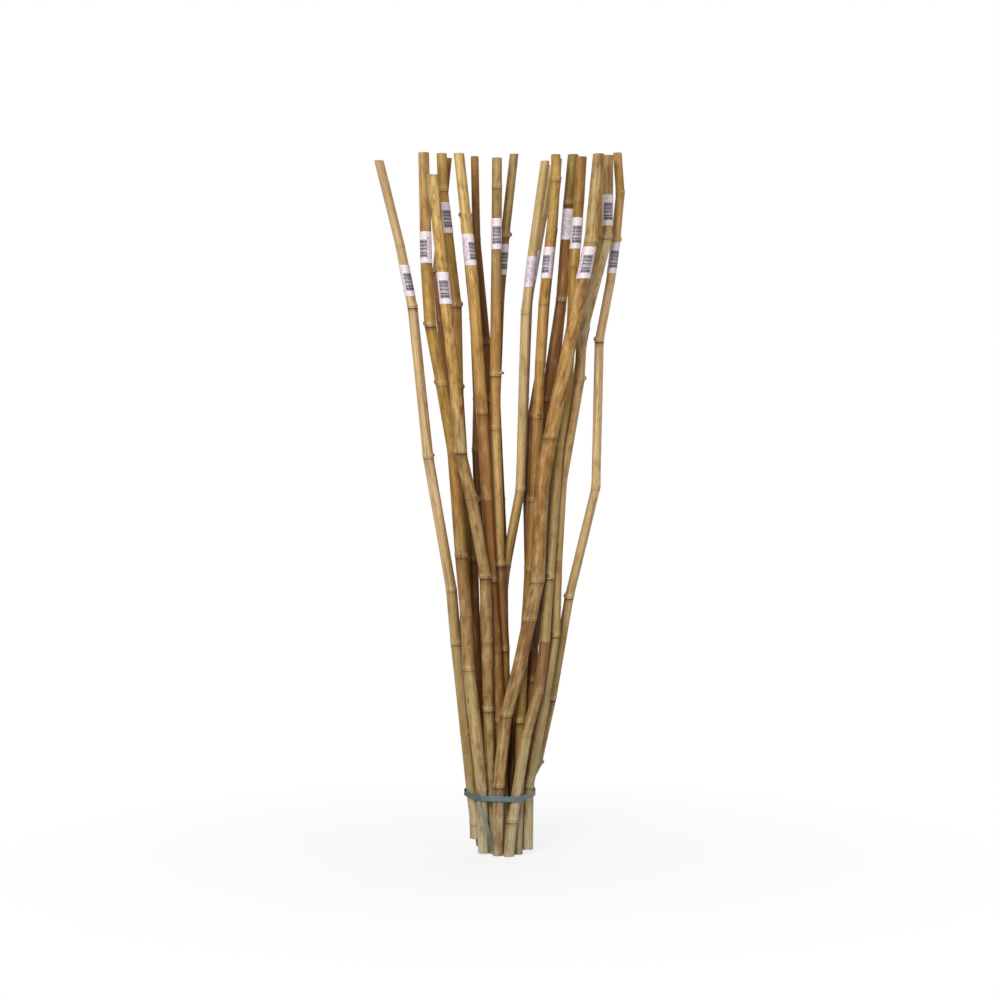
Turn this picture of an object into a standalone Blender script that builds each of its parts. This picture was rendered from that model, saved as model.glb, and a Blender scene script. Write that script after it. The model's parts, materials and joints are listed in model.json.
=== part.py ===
"""A bundle of bamboo plant canes that stand on their butt ends, held near the foot by one flat tie.

Each cane is a culm cut to one length: straight internodes that kink at ridged growth nodes, with an
open bore at both cut ends down to the first diaphragm. The canes are described by what shows from the
front (how far each growth node lies to the side) and by a rough depth, and are then settled against
each other like real canes pulled together by a tie. Sizes here are in millimetres and the model is
in metres, +Z up, with the ground at Z = 0 and the front at -Y.
"""
import math

import bmesh
import bpy
import numpy as np

for old in list(bpy.data.objects):
    bpy.data.objects.remove(old, do_unlink=True)

MM = 0.001

# The canes
CANE_LENGTH = 1222.0          # cut length along the culm, 4 ft stock
TRACED_LENGTH = 1222.0        # the cut length that the routes below were drawn for
SHORTEST_END = 14.0           # least length of a cut internode past its growth node
CANE_SIDES = 9                # flats round a culm
NODE_RIDGE = 1.1              # how far a growth node stands out of the culm
NODE_TAPER = 9.0              # length of the ridge above and below its crest
BUTT_WALL = 5.0               # culm wall at the butt end
TIP_WALL = 4.0                # culm wall at the tip
DIAPHRAGM = 6.0               # from a growth node's crest to the floor of the bore that ends there
CANE_GAP = 0.5                # least air between two canes

# The tie
TIE_HEIGHT = 99.0             # the middle of the band above the ground, at its front
TIE_FRONT = 62.0              # how far the band's front lies before the bundle's middle
TIE_TILT = 0.15               # how much the band rises for each millimetre towards the back
TIE_WIDTH = 9.5
TIE_THICKNESS = 1.3
TIE_GAP = 0.5                 # air between the band and the canes that it holds
TIE_STEPS = 60                # flats round the band
TIE_LEVELS = 12               # heights at which each foot is measured for the band
KNOT_SIZE = (12.0, 5.0, 11.0)  # along the band, outwards and up
KNOT_ANGLE = 237.0            # where the knot faces round the band, in degrees from +X
KNOT_SIDES = 12               # flats round the knot
KNOT_RISES = (0.0, 25.0, 50.0, 75.0)  # the knot's rings, in degrees up its dome
TAIL_WIDTH = 6.5
TAIL_THICKNESS = 1.3
TAIL_STEPS = 16
SEAT_GAP = 0.35               # air between a piece and what it is seated on

# The tail's route below the knot: sideways from the knot, and down from the knot's underside
TAIL_ROUTE = [(1.0, 0.0), (2.0, 7.0), (5.0, 16.0), (10.0, 26.0), (14.5, 38.0), (17.5, 52.0), (19.5, 68.0),
              (20.5, 84.0)]

# The labels
LABEL_LENGTH = 54.0           # along the cane
LABEL_WRAP = 38.0             # round the cane
LABEL_THICKNESS = 0.45
LABEL_SEGMENTS = 8

# The canes that lie outside all the others can be drawn up out of the tie, and their way is kept clear
DRAWN = ("cane_01", "cane_02", "cane_08", "cane_16", "cane_18", "cane_21")
DRAW_OUT = 112.0
DRAW_STEPS = np.array([0.0, 0.33, 0.67, 1.0])

# How the canes are settled against each other
SETTLE_STEP = 6.0             # height between two tested sections
SETTLE_GROW = 240             # rounds in which the radii grow
SETTLE_HOLD = 380             # rounds in which the pull towards the wanted places fades
SETTLE_LAST = 900             # rounds at most that only clear what still overlaps
SETTLE_DONE = 0.02            # overlap that is left at the end, a part of CANE_GAP
START_SIZE = 0.25             # share of its full radius that a cane starts with
PUSH = 0.62                   # share of an overlap that one round clears
PUSH_EASE = (0.45, 1.0)       # how readily canes give way sideways and in depth
PULL = (0.12, 0.01)           # pull back to the wanted place a round, sideways and in depth
STRAIGHTEN = 0.08             # how much of a kink in depth one round takes out
TIE_PULL = (0.012, 0.04)      # how much one round of the tie's pull closes the feet, sideways and in depth
NEAR = 2.5                    # canes further apart sideways than this many of their radii aren't compared

CANE_COLOURS = {
    "golden": "C9A468",
    "tan": "B5894F",
    "olive": "9A8340",
    "brown": "8A6038",
    "dark": "6E4528",
}
LABEL_COLOUR = "E9DDE6"
TIE_COLOUR = "4E7377"
TAIL_COLOUR = "8C9C86"


def cane(name, kind, depth, thick, route, label=None, trim=0.0):
    """One cane: its colour, depth at foot and tip, diameter at butt, middle and tip, and its route.

    The route lists (height, sideways) from the butt end up, with a growth node at each point but the
    first and the last. The first is the butt end. The last only aims the end internode, whose length
    follows from CANE_LENGTH. A label is (height, turn): the height of its middle, and how far it is
    turned from the front, in degrees. The cane is longer than CANE_LENGTH by trim.
    """
    return dict(name=name, kind=kind, depth=depth, thick=thick, route=route, label=label, trim=trim)


CANES = [
    cane("cane_01", "golden", (-10, -30), (20.5, 19, 16.5),
         [(26, -43), (54, -42), (210, -60), (367, -77), (460, -85), (692, -126), (953, -153),
          (1061, -175), (1210, -212)], label=(998, 25), trim=-27),
    cane("cane_02", "tan", (-30, -60), (19, 22, 19),
         [(3, -27), (115, -30.5), (223, -44), (325, -55.5), (418, -59), (519, -67.5), (700, -81), (817, -101.5),
          (918, -121), (1016, -127.5), (1220, -132.5)], label=(1052, -35), trim=-3),
    cane("cane_03", "tan", (-19, -104), (18, 21, 19),
         [(1, -13), (253, -19), (372, -23), (484, -26), (621, -51), (699, -69),
          (810, -77), (1015, -100), (1219, -121)], label=(978, 0), trim=-46),
    cane("cane_04", "olive", (5, 5), (16.5, 18, 18),
         [(10, -30), (241, -57), (372, -63), (512, -60), (670, -65), (813, -74),
          (958, -77), (1161, -101), (1221, -103)], label=(1112, 20), trim=-3),
    cane("cane_05", "brown", (-2, 45), (14.5, 16, 15),
         [(8, -28), (168, -33), (302, -40), (407, -44), (512, -47), (616, -57), (704, -70),
          (783, -87), (935, -106), (1023, -113), (1218, -94)]),
    cane("cane_06", "golden", (-18, -55), (17.5, 21, 18.5),
         [(0, 10), (232, -5), (355, -10), (477, -16), (617, -23), (768, -32),
          (998, -48), (1106, -60), (1220, -72)], label=(1049, 30), trim=-4),
    cane("cane_07", "dark", (13, 30), (14.5, 16.5, 16),
         [(0, -23), (267, -23), (407, -21), (547, -31), (616, -40), (704, -42), (793, -40),
          (934, -46), (1101, -62), (1218, -72)], trim=-2),
    cane("cane_08", "brown", (28, 80), (14.5, 16, 15),
         [(0, -14), (174, -24), (302, -32), (460, -28), (617, -19), (794, -19), (898, -25),
          (1082, -43), (1228, -46)], trim=13),
    cane("cane_09", "tan", (-2, -25), (16.5, 19, 17.5),
         [(0, 3), (232, 9), (355, 6), (503, -1), (742, -9), (835, -9), (1162, -6),
          (1214, -6)], label=(1080, 5), trim=-9),
    cane("cane_10", "olive", (14, 15), (15.5, 16.5, 16),
         [(0, 17), (232, 10), (372, 5), (512, 5), (617, 0), (792, -8), (967, -1),
          (1081, 8), (1224, 24)], label=(1040, 20), trim=6),
    cane("cane_11", "golden", (-2, 5), (15.5, 17, 16),
         [(0, -9), (267, -7), (407, -4), (503, 10), (635, 35), (946, 44), (1055, 57),
          (1207, 78)], label=(1017, -10), trim=-4),
    cane("cane_12", "tan", (14, 65), (14.5, 15.5, 15),
         [(0, -6), (232, -2), (372, 2), (495, 10), (635, 37), (794, 43), (974, 50),
          (1121, 76), (1215, 92)], label=(1034, 10)),
    cane("cane_13", "golden", (-18, -40), (16.5, 18.5, 17),
         [(0, 37), (232, 37), (328, 39), (495, 52), (617, 60), (761, 65), (859, 69),
          (959, 75), (1068, 86), (1172, 97), (1216, 96)], label=(1028, -25), trim=-4),
    cane("cane_14", "dark", (12, 35), (14.5, 16, 16),
         [(4, 11), (267, 29), (372, 43), (495, 50), (617, 48), (766, 56), (854, 72),
          (969, 80), (1093, 93), (1216, 101)]),
    cane("cane_15", "dark", (-3, 5), (16.5, 19, 19.5),
         [(0, 10), (197, 42), (302, 55.5), (442, 60), (617, 61), (705, 68), (792, 80),
          (967, 107), (1137, 120), (1224, 128)], label=(1100, -10), trim=9),
    cane("cane_16", "brown", (29, 85), (15, 16.5, 16.5),
         [(0, 5), (232, 42), (372, 63), (512, 75), (652, 82), (794, 92), (955, 109),
          (1078, 124), (1220, 133)]),
    cane("cane_17", "tan", (-34, -30), (19.5, 19, 19),
         [(0, 14), (61, 23), (213, 46), (285, 66), (372, 77), (482, 84), (600, 93), (710, 101),
          (791, 114), (935, 125), (1025, 128), (1138, 137), (1209, 141)], label=(1080, 5)),
    cane("cane_18", "golden", (-36, -85), (18, 25.5, 20),
         [(0, -2), (122, -2), (246, 10), (334, 34), (410, 50), (477, 64), (643, 71), (725, 86),
          (895, 121), (1060, 155), (1215, 169)], label=(1023, 5), trim=3),
    cane("cane_19", "brown", (18, 60), (15, 16.5, 16),
         [(4, 27), (162, 50), (267, 70), (372, 86), (512, 94), (652, 108), (794, 130),
          (918, 150), (1086, 175), (1226, 184)]),
    cane("cane_20", "tan", (-9, -25), (18, 19, 18),
         [(8, 47), (117, 49), (258, 71), (381, 95), (512, 99), (649, 107), (826, 138),
          (905, 142), (1074, 187), (1210, 188)], label=(1121, 0)),
    cane("cane_21", "golden", (9, 10), (17, 16.5, 16),
         [(5, 43), (117, 49), (153, 65), (267, 90), (446, 121), (638, 168), (897, 174),
          (1003, 194), (1072, 203), (1156, 211), (1226, 206)], label=(1042, 20), trim=18),
]


def cut_to_length(item):
    """The cane's route in millimetres, with its tip where the culm is CANE_LENGTH long."""
    stretch = CANE_LENGTH / TRACED_LENGTH
    points = [(height * stretch, sideways) for height, sideways in item["route"]]
    route = [points[0]]
    left = CANE_LENGTH + item["trim"] * stretch
    for place, (low, high) in enumerate(zip(points[:-1], points[1:]), start=2):
        run = math.hypot(high[0] - low[0], high[1] - low[1])
        if place == len(points) or left < run + SHORTEST_END:
            share = left / run
            route.append((low[0] + share * (high[0] - low[0]), low[1] + share * (high[1] - low[1])))
            break
        route.append(high)
        left -= run
    return np.array(route)


def label_height(item):
    """The height of the middle of a cane's label."""
    return item["label"][0] * CANE_LENGTH / TRACED_LENGTH


def bow(values, at):
    """The value at a share of the length, on the parabola through values at 0, 1/2 and 1."""
    low, middle, high = values
    return low * (2 * at - 1) * (at - 1) + middle * 4 * at * (1 - at) + high * at * (2 * at - 1)


def culm_radius(item, heights):
    """Half the culm's diameter at each height, without its ridges."""
    return 0.5 * bow(item["thick"], np.clip(np.asarray(heights) / CANE_LENGTH, 0.0, 1.0))


def clear_radius(item, route, heights):
    """The culm's radius with room for its ridges and its label."""
    reach = np.abs(heights[:, None] - route[None, 1:-1, 0]).min(axis=1)
    room = NODE_RIDGE * np.clip(2.0 - reach / NODE_TAPER, 0.0, 1.0)
    if item["label"]:
        near = np.abs(heights - label_height(item)) < 0.5 * LABEL_LENGTH + SETTLE_STEP
        room = np.where(near, np.maximum(room, LABEL_THICKNESS + 2 * SEAT_GAP), room)
    return culm_radius(item, heights) + room


def sections(canes, routes):
    """Every cane's cross sections at the settling heights, as rows that read its route points.

    A cane that can be drawn out also has sections for steps of its way up, so that its way is kept
    clear. A row's centre is low + share * (high - low) + lever * (second - first), where low and high
    are the route points round it, and first and second are the ends of the butt's internode.
    """
    levels = np.arange(0.0, CANE_LENGTH + DRAW_OUT + SETTLE_STEP, SETTLE_STEP)
    rows = dict(owner=[], level=[], low=[], share=[], first=[], lever=[], radius=[])
    base = 0
    for number, (item, route) in enumerate(zip(canes, routes)):
        rises = DRAW_STEPS * DRAW_OUT if item["name"] in DRAWN else [0.0]
        for rise in rises:
            inside = np.flatnonzero((levels - rise >= route[0, 0]) & (levels - rise <= route[-1, 0]))
            heights = levels[inside] - rise
            low = np.clip(np.searchsorted(route[:, 0], heights, side="right") - 1, 0, len(route) - 2)
            size = len(inside)
            rows["owner"].append(np.full(size, number))
            rows["level"].append(inside)
            rows["low"].append(base + low)
            rows["share"].append((heights - route[low, 0]) / (route[low + 1, 0] - route[low, 0]))
            rows["first"].append(np.full(size, base))
            rows["lever"].append(np.full(size, rise / (route[1, 0] - route[0, 0])))
            rows["radius"].append(clear_radius(item, route, heights))
        base += len(route)
    return {key: np.concatenate(parts) for key, parts in rows.items()}


def neighbours(rows, sideways):
    """Pairs of rows of two canes that lie at one height and near enough to ever touch."""
    order = np.argsort(rows["level"], kind="stable")
    ends = np.searchsorted(rows["level"][order], np.arange(rows["level"].max() + 2))
    firsts = []
    seconds = []
    for start, stop in zip(ends[:-1], ends[1:]):
        here = order[start:stop]
        a, b = np.triu_indices(len(here), 1)
        a, b = here[a], here[b]
        close = np.abs(sideways[a] - sideways[b]) < NEAR * (rows["radius"][a] + rows["radius"][b])
        keep = close & (rows["owner"][a] != rows["owner"][b])
        firsts.append(a[keep])
        seconds.append(b[keep])
    return np.concatenate(firsts), np.concatenate(seconds)


def settle(canes, routes):
    """Pushes the canes apart, mostly in depth, until each is clear of all the others.

    The radii grow to their full size from a quarter of it, so that two canes which cross keep the
    order in depth that they were given. Meanwhile each cane is drawn back to where it shows from the
    front, and the tie draws the feet together. Returns every cane's (sideways, depth) at its route
    points.
    """
    wanted = []
    for item, route in zip(canes, routes):
        share = (route[:, 0] - route[0, 0]) / (route[-1, 0] - route[0, 0])
        depth = item["depth"][0] + (item["depth"][1] - item["depth"][0]) * share
        wanted.append(np.stack([route[:, 1], depth], axis=1))
    sizes = [len(route) for route in routes]
    wanted = np.concatenate(wanted)
    heights = np.concatenate([route[:, 0] for route in routes])
    feet = heights <= TIE_HEIGHT + 3 * TIE_WIDTH
    edges = np.concatenate([[0], np.cumsum(sizes)])
    inner = np.ones(len(wanted), dtype=bool)
    inner[edges[:-1]] = False
    inner[edges[1:] - 1] = False
    inner = np.flatnonzero(inner)
    rows = sections(canes, routes)
    low, share, first, lever = rows["low"], rows["share"][:, None], rows["first"], rows["lever"][:, None]
    points = wanted.copy()

    def centres():
        foot = points[first + 1] - points[first]
        return points[low] + share * (points[low + 1] - points[low]) + lever * foot

    a, b = neighbours(rows, centres()[:, 0])
    reach = rows["radius"][a] + rows["radius"][b] + CANE_GAP
    count = len(low)
    for step in range(SETTLE_GROW + SETTLE_HOLD + SETTLE_LAST):
        place = centres()
        apart = place[a] - place[b]
        size = min(1.0, START_SIZE + (1.0 - START_SIZE) * step / SETTLE_GROW)
        overlap = np.maximum(size * reach - np.linalg.norm(apart, axis=1), 0.0)
        if step > SETTLE_GROW + SETTLE_HOLD and overlap.max() < SETTLE_DONE:
            break
        way = apart * np.array(PUSH_EASE)
        way /= np.maximum(np.linalg.norm(way, axis=1), 1e-9)[:, None]
        weight = np.bincount(a, overlap, count) + np.bincount(b, overlap, count)
        force = way * (overlap ** 2)[:, None]
        pushed = np.zeros(len(points))
        for at, part in ((low, 1.0 - share[:, 0]), (low + 1, share[:, 0])):
            pushed += np.bincount(at, weight * part, len(points))
        for axis in range(2):
            total = np.bincount(a, force[:, axis], count) - np.bincount(b, force[:, axis], count)
            move = np.zeros(len(points))
            for at, part in ((low, 1.0 - share[:, 0]), (low + 1, share[:, 0])):
                move += np.bincount(at, total * part, len(points))
            points[:, axis] += PUSH * move / np.maximum(pushed, 1e-6)
        slack = max(0.0, 1.0 - max(0, step - SETTLE_GROW) / SETTLE_HOLD)
        if slack > 0.0:
            points += slack * (wanted - points) * np.array(PULL)
            bend = 0.5 * (points[inner - 1, 1] + points[inner + 1, 1]) - points[inner, 1]
            points[inner, 1] += STRAIGHTEN * slack * bend
        if slack > 0.0 and step > SETTLE_GROW:
            from_middle = points[feet] - points[feet].mean(axis=0)
            points[feet] -= slack * from_middle * np.array(TIE_PULL)
    return np.split(points, edges[1:-1])


def ring(centre, height, radius, sides, turn=0.0):
    """Points round a centre at one height, counter-clockwise from above."""
    angles = 2 * math.pi * (np.arange(sides) + turn) / sides
    flat = np.asarray(centre) + radius * np.stack([np.cos(angles), np.sin(angles)], axis=1)
    return np.column_stack([flat, np.full(sides, height)])


class Culm:
    """One settled cane: where its centre and its surface lie at any height."""

    def __init__(self, item, route, points):
        self.item = item
        self.name = item["name"]
        self.route = route
        self.points = points
        self.bottom = route[0, 0]
        self.top = route[-1, 0]
        heights = [self.bottom]
        radii = [culm_radius(item, self.bottom)]
        for crest in route[1:-1, 0]:
            for offset, rise in ((-NODE_TAPER, 0.0), (0.0, NODE_RIDGE), (NODE_TAPER, 0.0)):
                heights.append(crest + offset)
                radii.append(culm_radius(item, crest + offset) + rise)
        heights.append(self.top)
        radii.append(culm_radius(item, self.top))
        self.ring_heights = np.array(heights)
        self.ring_radii = np.array(radii)

    def centre(self, height):
        return np.array([np.interp(height, self.route[:, 0], self.points[:, 0]),
                         np.interp(height, self.route[:, 0], self.points[:, 1])])

    def radius(self, height):
        return float(np.interp(height, self.ring_heights, self.ring_radii))

    def foot(self):
        """The middle of the butt end."""
        return np.append(self.centre(self.bottom), self.bottom)

    def axis(self):
        """The direction of the butt's internode, upwards."""
        along = np.append(self.points[1] - self.points[0], self.route[1, 0] - self.route[0, 0])
        return along / np.linalg.norm(along)

    def rings(self):
        """The culm's rings in order: butt bore, outside from butt to tip, tip bore."""
        butt_bore = self.ring_radii[0] - BUTT_WALL
        tip_bore = self.ring_radii[-1] - TIP_WALL
        butt_floor = self.route[1, 0] - DIAPHRAGM
        tip_floor = self.route[-2, 0] + DIAPHRAGM
        order = [(butt_floor, butt_bore), (self.bottom, butt_bore)]
        order += list(zip(self.ring_heights, self.ring_radii))
        order += [(self.top, tip_bore), (tip_floor, tip_bore)]
        return [ring(self.centre(height), height, radius, CANE_SIDES) for height, radius in order]


def linear(hex_colour):
    """A colour given as sRGB hex digits, as linear values."""
    parts = [int(hex_colour[i:i + 2], 16) / 255 for i in (0, 2, 4)]
    return [c / 12.92 if c <= 0.04045 else ((c + 0.055) / 1.055) ** 2.4 for c in parts]


def finish_object(name, vertices, faces, origin, colour, roughness=0.6, parent=None):
    """Makes one closed solid from vertices in millimetres, with its own material."""
    origin = np.asarray(origin, dtype=float)
    mesh = bpy.data.meshes.new(name)
    local = (np.asarray(vertices) - origin) * MM
    mesh.from_pydata([tuple(v) for v in local], [], faces)
    work = bmesh.new()
    work.from_mesh(mesh)
    bmesh.ops.recalc_face_normals(work, faces=work.faces)
    work.to_mesh(mesh)
    work.free()
    mesh.shade_smooth()
    mesh.set_sharp_from_angle(angle=math.radians(40))
    material = bpy.data.materials.new(name)
    material.use_nodes = True
    surface = material.node_tree.nodes["Principled BSDF"]
    surface.inputs["Base Color"].default_value = (*linear(colour), 1.0)
    surface.inputs["Roughness"].default_value = roughness
    mesh.materials.append(material)
    made = bpy.data.objects.new(name, mesh)
    bpy.context.collection.objects.link(made)
    place = origin * MM
    if parent is not None:
        made.parent = parent
        place = place - np.array(parent.location)
    made.location = tuple(place)
    return made


def chain(rings):
    """Vertices and faces of a closed skin: rings of one count joined in order, each end capped."""
    sides = len(rings[0])
    faces = [tuple(reversed(range(sides)))]
    for k in range(len(rings) - 1):
        for i in range(sides):
            j = (i + 1) % sides
            faces.append((k * sides + i, k * sides + j, (k + 1) * sides + j, (k + 1) * sides + i))
    faces.append(tuple(range((len(rings) - 1) * sides, len(rings) * sides)))
    return np.concatenate(rings), faces


def make_cane(culm):
    vertices, faces = chain(culm.rings())
    return finish_object(culm.name, vertices, faces, culm.foot(), CANE_COLOURS[culm.item["kind"]])


def make_label(culm, carrier):
    """A paper label wrapped part of the way round its cane, a closed skin in the shape of a C."""
    height = label_height(culm.item)
    turn = math.radians(culm.item["label"][1] - 90.0)
    skin = []
    for level in (height - 0.5 * LABEL_LENGTH, height + 0.5 * LABEL_LENGTH):
        inner = culm.radius(level) + SEAT_GAP
        half = 0.5 * LABEL_WRAP / inner
        angles = turn + np.linspace(-half, half, LABEL_SEGMENTS + 1)
        inner /= math.cos(half / LABEL_SEGMENTS)
        for radius in (inner, inner + LABEL_THICKNESS):
            flat = culm.centre(level) + radius * np.stack([np.cos(angles), np.sin(angles)], axis=1)
            skin.append(np.column_stack([flat, np.full(len(angles), level)]))
    count = LABEL_SEGMENTS + 1
    low_in, low_out, high_in, high_out = 0, count, 2 * count, 3 * count
    faces = []
    for i in range(LABEL_SEGMENTS):
        for left, right in ((low_out, high_out), (high_out, high_in), (high_in, low_in), (low_in, low_out)):
            faces.append((left + i, left + i + 1, right + i + 1, right + i))
    for i in (0, LABEL_SEGMENTS):
        faces.append((low_in + i, low_out + i, high_out + i, high_in + i))
    name = culm.name.replace("cane", "label")
    origin = np.append(culm.centre(height), height)
    return finish_object(name, np.concatenate(skin), faces, origin, LABEL_COLOUR, 0.5, carrier)


def tie_level(depth):
    """Height of the band's middle at a depth: the band was pushed down further at the front."""
    return TIE_HEIGHT + TIE_TILT * (depth + TIE_FRONT)


def tie_outline(culms, offset):
    """The closed line round all the canes' feet, TIE_GAP + offset clear of them, from above.

    Each point is where a straight edge laid against the bundle in one direction touches the widest
    section of a foot between the ground and the top of the band, so the band can also slide down.
    """
    middles = []
    radii = []
    for culm in culms:
        top = tie_level(culm.centre(TIE_HEIGHT)[1]) + TIE_WIDTH
        levels = np.linspace(culm.bottom, top, TIE_LEVELS)
        ridges = culm.ring_radii[culm.ring_heights < top + NODE_TAPER]
        widest = max(ridges.max(), culm.radius(top + NODE_TAPER))
        middles.append(np.array([culm.centre(level) for level in levels]))
        radii.append(np.full(len(levels), widest))
    middles = np.concatenate(middles)
    radii = np.concatenate(radii) + TIE_GAP + offset
    angles = 2 * math.pi * np.arange(TIE_STEPS) / TIE_STEPS
    outward = np.stack([np.cos(angles), np.sin(angles)], axis=1)
    touching = (middles @ outward.T + radii[:, None]).argmax(axis=0)
    return middles[touching] + radii[touching][:, None] * outward, outward


def make_tie_band(culms):
    """The flat band, a closed ring of rectangular section round the feet."""
    inner, _ = tie_outline(culms, 0.0)
    outer, _ = tie_outline(culms, TIE_THICKNESS)
    low = tie_level(outer[:, 1]) - 0.5 * TIE_WIDTH
    high = low + TIE_WIDTH
    loops = [np.column_stack(pair) for pair in ((inner, low), (outer, low), (outer, high), (inner, high))]
    faces = []
    for k in range(4):
        for i in range(TIE_STEPS):
            j = (i + 1) % TIE_STEPS
            here, there = k * TIE_STEPS, (k + 1) % 4 * TIE_STEPS
            faces.append((here + i, here + j, there + j, there + i))
    middle = outer.mean(axis=0)
    middle = np.append(middle, tie_level(middle[1]))
    return finish_object("tie_band", np.concatenate(loops), faces, middle, TIE_COLOUR, 0.55)


def knot_seat(culms):
    """Where the knot sits on the band's outer face, and the direction that faces away from it."""
    outer, outward = tie_outline(culms, TIE_THICKNESS + SEAT_GAP)
    place = int(round(KNOT_ANGLE / 360.0 * TIE_STEPS)) % TIE_STEPS
    return np.append(outer[place], tie_level(outer[place][1])), np.append(outward[place], 0.0)


def make_tie_knot(culms, band):
    """The knot: a low dome on the band's outer face."""
    seat, out = knot_seat(culms)
    along = np.array([-out[1], out[0], 0.0])
    up = np.array([0.0, 0.0, 1.0])
    wide, deep, high = KNOT_SIZE
    rings = []
    angles = 2 * math.pi * np.arange(KNOT_SIDES) / KNOT_SIDES
    for rise in np.radians(KNOT_RISES):
        flat = 0.5 * math.cos(rise) * (wide * np.outer(np.cos(angles), along)
                                       + high * np.outer(np.sin(angles), up))
        rings.append(seat + flat + deep * math.sin(rise) * out)
    vertices, faces = chain(rings)
    return finish_object("tie_knot", vertices, faces, seat, TIE_COLOUR, 0.55, band)


def smooth_path(points, steps):
    """Points on a smooth curve (Catmull-Rom) through the given ones."""
    points = np.asarray(points, dtype=float)
    ends = np.vstack([2 * points[0] - points[1], points, 2 * points[-1] - points[-2]])
    path = []
    for place in np.linspace(0.0, len(points) - 1, steps):
        k = min(int(place), len(points) - 2)
        t = place - k
        a, b, c, d = ends[k:k + 4]
        path.append(0.5 * (2 * b + (c - a) * t + (2 * a - 5 * b + 4 * c - d) * t ** 2
                           + (3 * b - 3 * c + d - a) * t ** 3))
    return np.array(path)


def make_tie_tail(culms, band):
    """The band's loose end: a flat strip that hangs from the knot in front of the feet."""
    seat, _ = knot_seat(culms)
    outer, _ = tie_outline(culms, TIE_THICKNESS + SEAT_GAP + 0.5 * TAIL_THICKNESS)
    front = outer[outer[:, 1] < outer[:, 1].mean()]
    front = front[np.argsort(front[:, 0])]
    top = seat[2] - 0.5 * KNOT_SIZE[2] - SEAT_GAP
    route = []
    for sideways, drop in TAIL_ROUTE:
        x = seat[0] + sideways
        route.append((x, np.interp(x, front[:, 0], front[:, 1]), top - drop))
    path = smooth_path(route, TAIL_STEPS)
    rings = []
    for k, point in enumerate(path):
        along = path[min(k + 1, len(path) - 1)] - path[max(k - 1, 0)]
        along = np.array([0.0, 0.0, -1.0]) if k == 0 else along / np.linalg.norm(along)
        across = np.cross([0.0, -1.0, 0.0], along)
        across /= np.linalg.norm(across)
        out = np.cross(along, across)
        corners = [(-1, -1), (1, -1), (1, 1), (-1, 1)]
        rings.append(np.array([point + 0.5 * (TAIL_WIDTH * u * across + TAIL_THICKNESS * v * out)
                               for u, v in corners]))
    vertices, faces = chain(rings)
    return finish_object("tie_tail", vertices, faces, path[0], TAIL_COLOUR, 0.6, band)


def build():
    """Makes the whole bundle, centred over the middle of its own box."""
    routes = [cut_to_length(item) for item in CANES]
    settled = settle(CANES, routes)
    culms = [Culm(item, route, points) for item, route, points in zip(CANES, routes, settled)]
    skins = np.concatenate([np.concatenate(culm.rings()) for culm in culms])
    middle = 0.5 * (skins[:, :2].min(axis=0) + skins[:, :2].max(axis=0))
    for culm in culms:
        culm.points = culm.points - middle
    for culm in culms:
        carrier = make_cane(culm)
        if culm.item["label"]:
            make_label(culm, carrier)
    band = make_tie_band(culms)
    make_tie_knot(culms, band)
    make_tie_tail(culms, band)
    return culms


CULMS = build()
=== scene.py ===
"""A tied bundle of dried bamboo plant canes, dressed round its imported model.

The canes stand on their sawn butt ends on the ground at Z = 0, with the front at -Y. Each culm is
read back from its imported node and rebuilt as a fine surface, so that it stays where the model has it.
"""
import json
import math

import bpy
import numpy as np
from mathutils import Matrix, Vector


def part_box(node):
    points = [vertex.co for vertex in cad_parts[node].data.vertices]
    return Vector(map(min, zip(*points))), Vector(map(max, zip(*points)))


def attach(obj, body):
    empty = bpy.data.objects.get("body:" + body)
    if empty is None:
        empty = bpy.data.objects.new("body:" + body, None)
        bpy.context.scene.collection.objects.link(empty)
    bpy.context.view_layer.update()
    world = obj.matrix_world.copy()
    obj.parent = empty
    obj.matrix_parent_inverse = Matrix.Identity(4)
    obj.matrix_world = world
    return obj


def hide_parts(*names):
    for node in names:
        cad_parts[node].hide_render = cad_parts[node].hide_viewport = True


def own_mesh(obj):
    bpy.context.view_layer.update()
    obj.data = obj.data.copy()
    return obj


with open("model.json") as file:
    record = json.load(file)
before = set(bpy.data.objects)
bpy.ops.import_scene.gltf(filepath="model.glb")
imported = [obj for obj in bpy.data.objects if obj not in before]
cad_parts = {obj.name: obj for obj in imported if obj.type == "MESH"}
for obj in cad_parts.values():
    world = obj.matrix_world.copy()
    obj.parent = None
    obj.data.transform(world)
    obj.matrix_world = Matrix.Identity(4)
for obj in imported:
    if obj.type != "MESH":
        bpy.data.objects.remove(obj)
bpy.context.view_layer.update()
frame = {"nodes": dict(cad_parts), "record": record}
body_of = {node: body for body, nodes in frame["record"]["behaviour"]["bodies"].items() for node in nodes}

MM = 0.001

# The culms. Each is one stem of thin-walled garden bamboo, air dried and sawn to the stock length. It
# runs straight between its growth nodes and kinks a little at each of them, and both sawn ends show
# the wall and the bore, which a woody diaphragm closes at the first node.
CULM_SIDES = 48
WALL_STEP = 6 * MM            # spacing of the surface's rings along an internode
NODE_REACH = 15 * MM          # how far on either side of a node the rings lie closer
NODE_STEP = 0.75 * MM
KINK = 5 * MM                 # half the length over which a kink is rounded
SAME_LEVEL = 0.05 * MM        # corners nearer in height than this belong to one ring
BORE_SHARE = 0.6              # a ring narrower than this share of the culm's usual one lies in its bore
LEAST_STEP = 0.2 * MM         # rings closer than this to the one below are left out
RIM = 0.35 * MM               # how far a sawn edge is worn round
SAW_DEPTH = 0.35 * MM         # depth of the saw's tooth marks
CUT_RINGS = (0.0, 0.5, 0.93)  # where the rings of a cut lie, as shares of the way across the wall
DOME = 0.6 * MM               # how far a diaphragm bulges towards the cut
FILLET = 2 * MM               # height of the hollow edge round it
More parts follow.
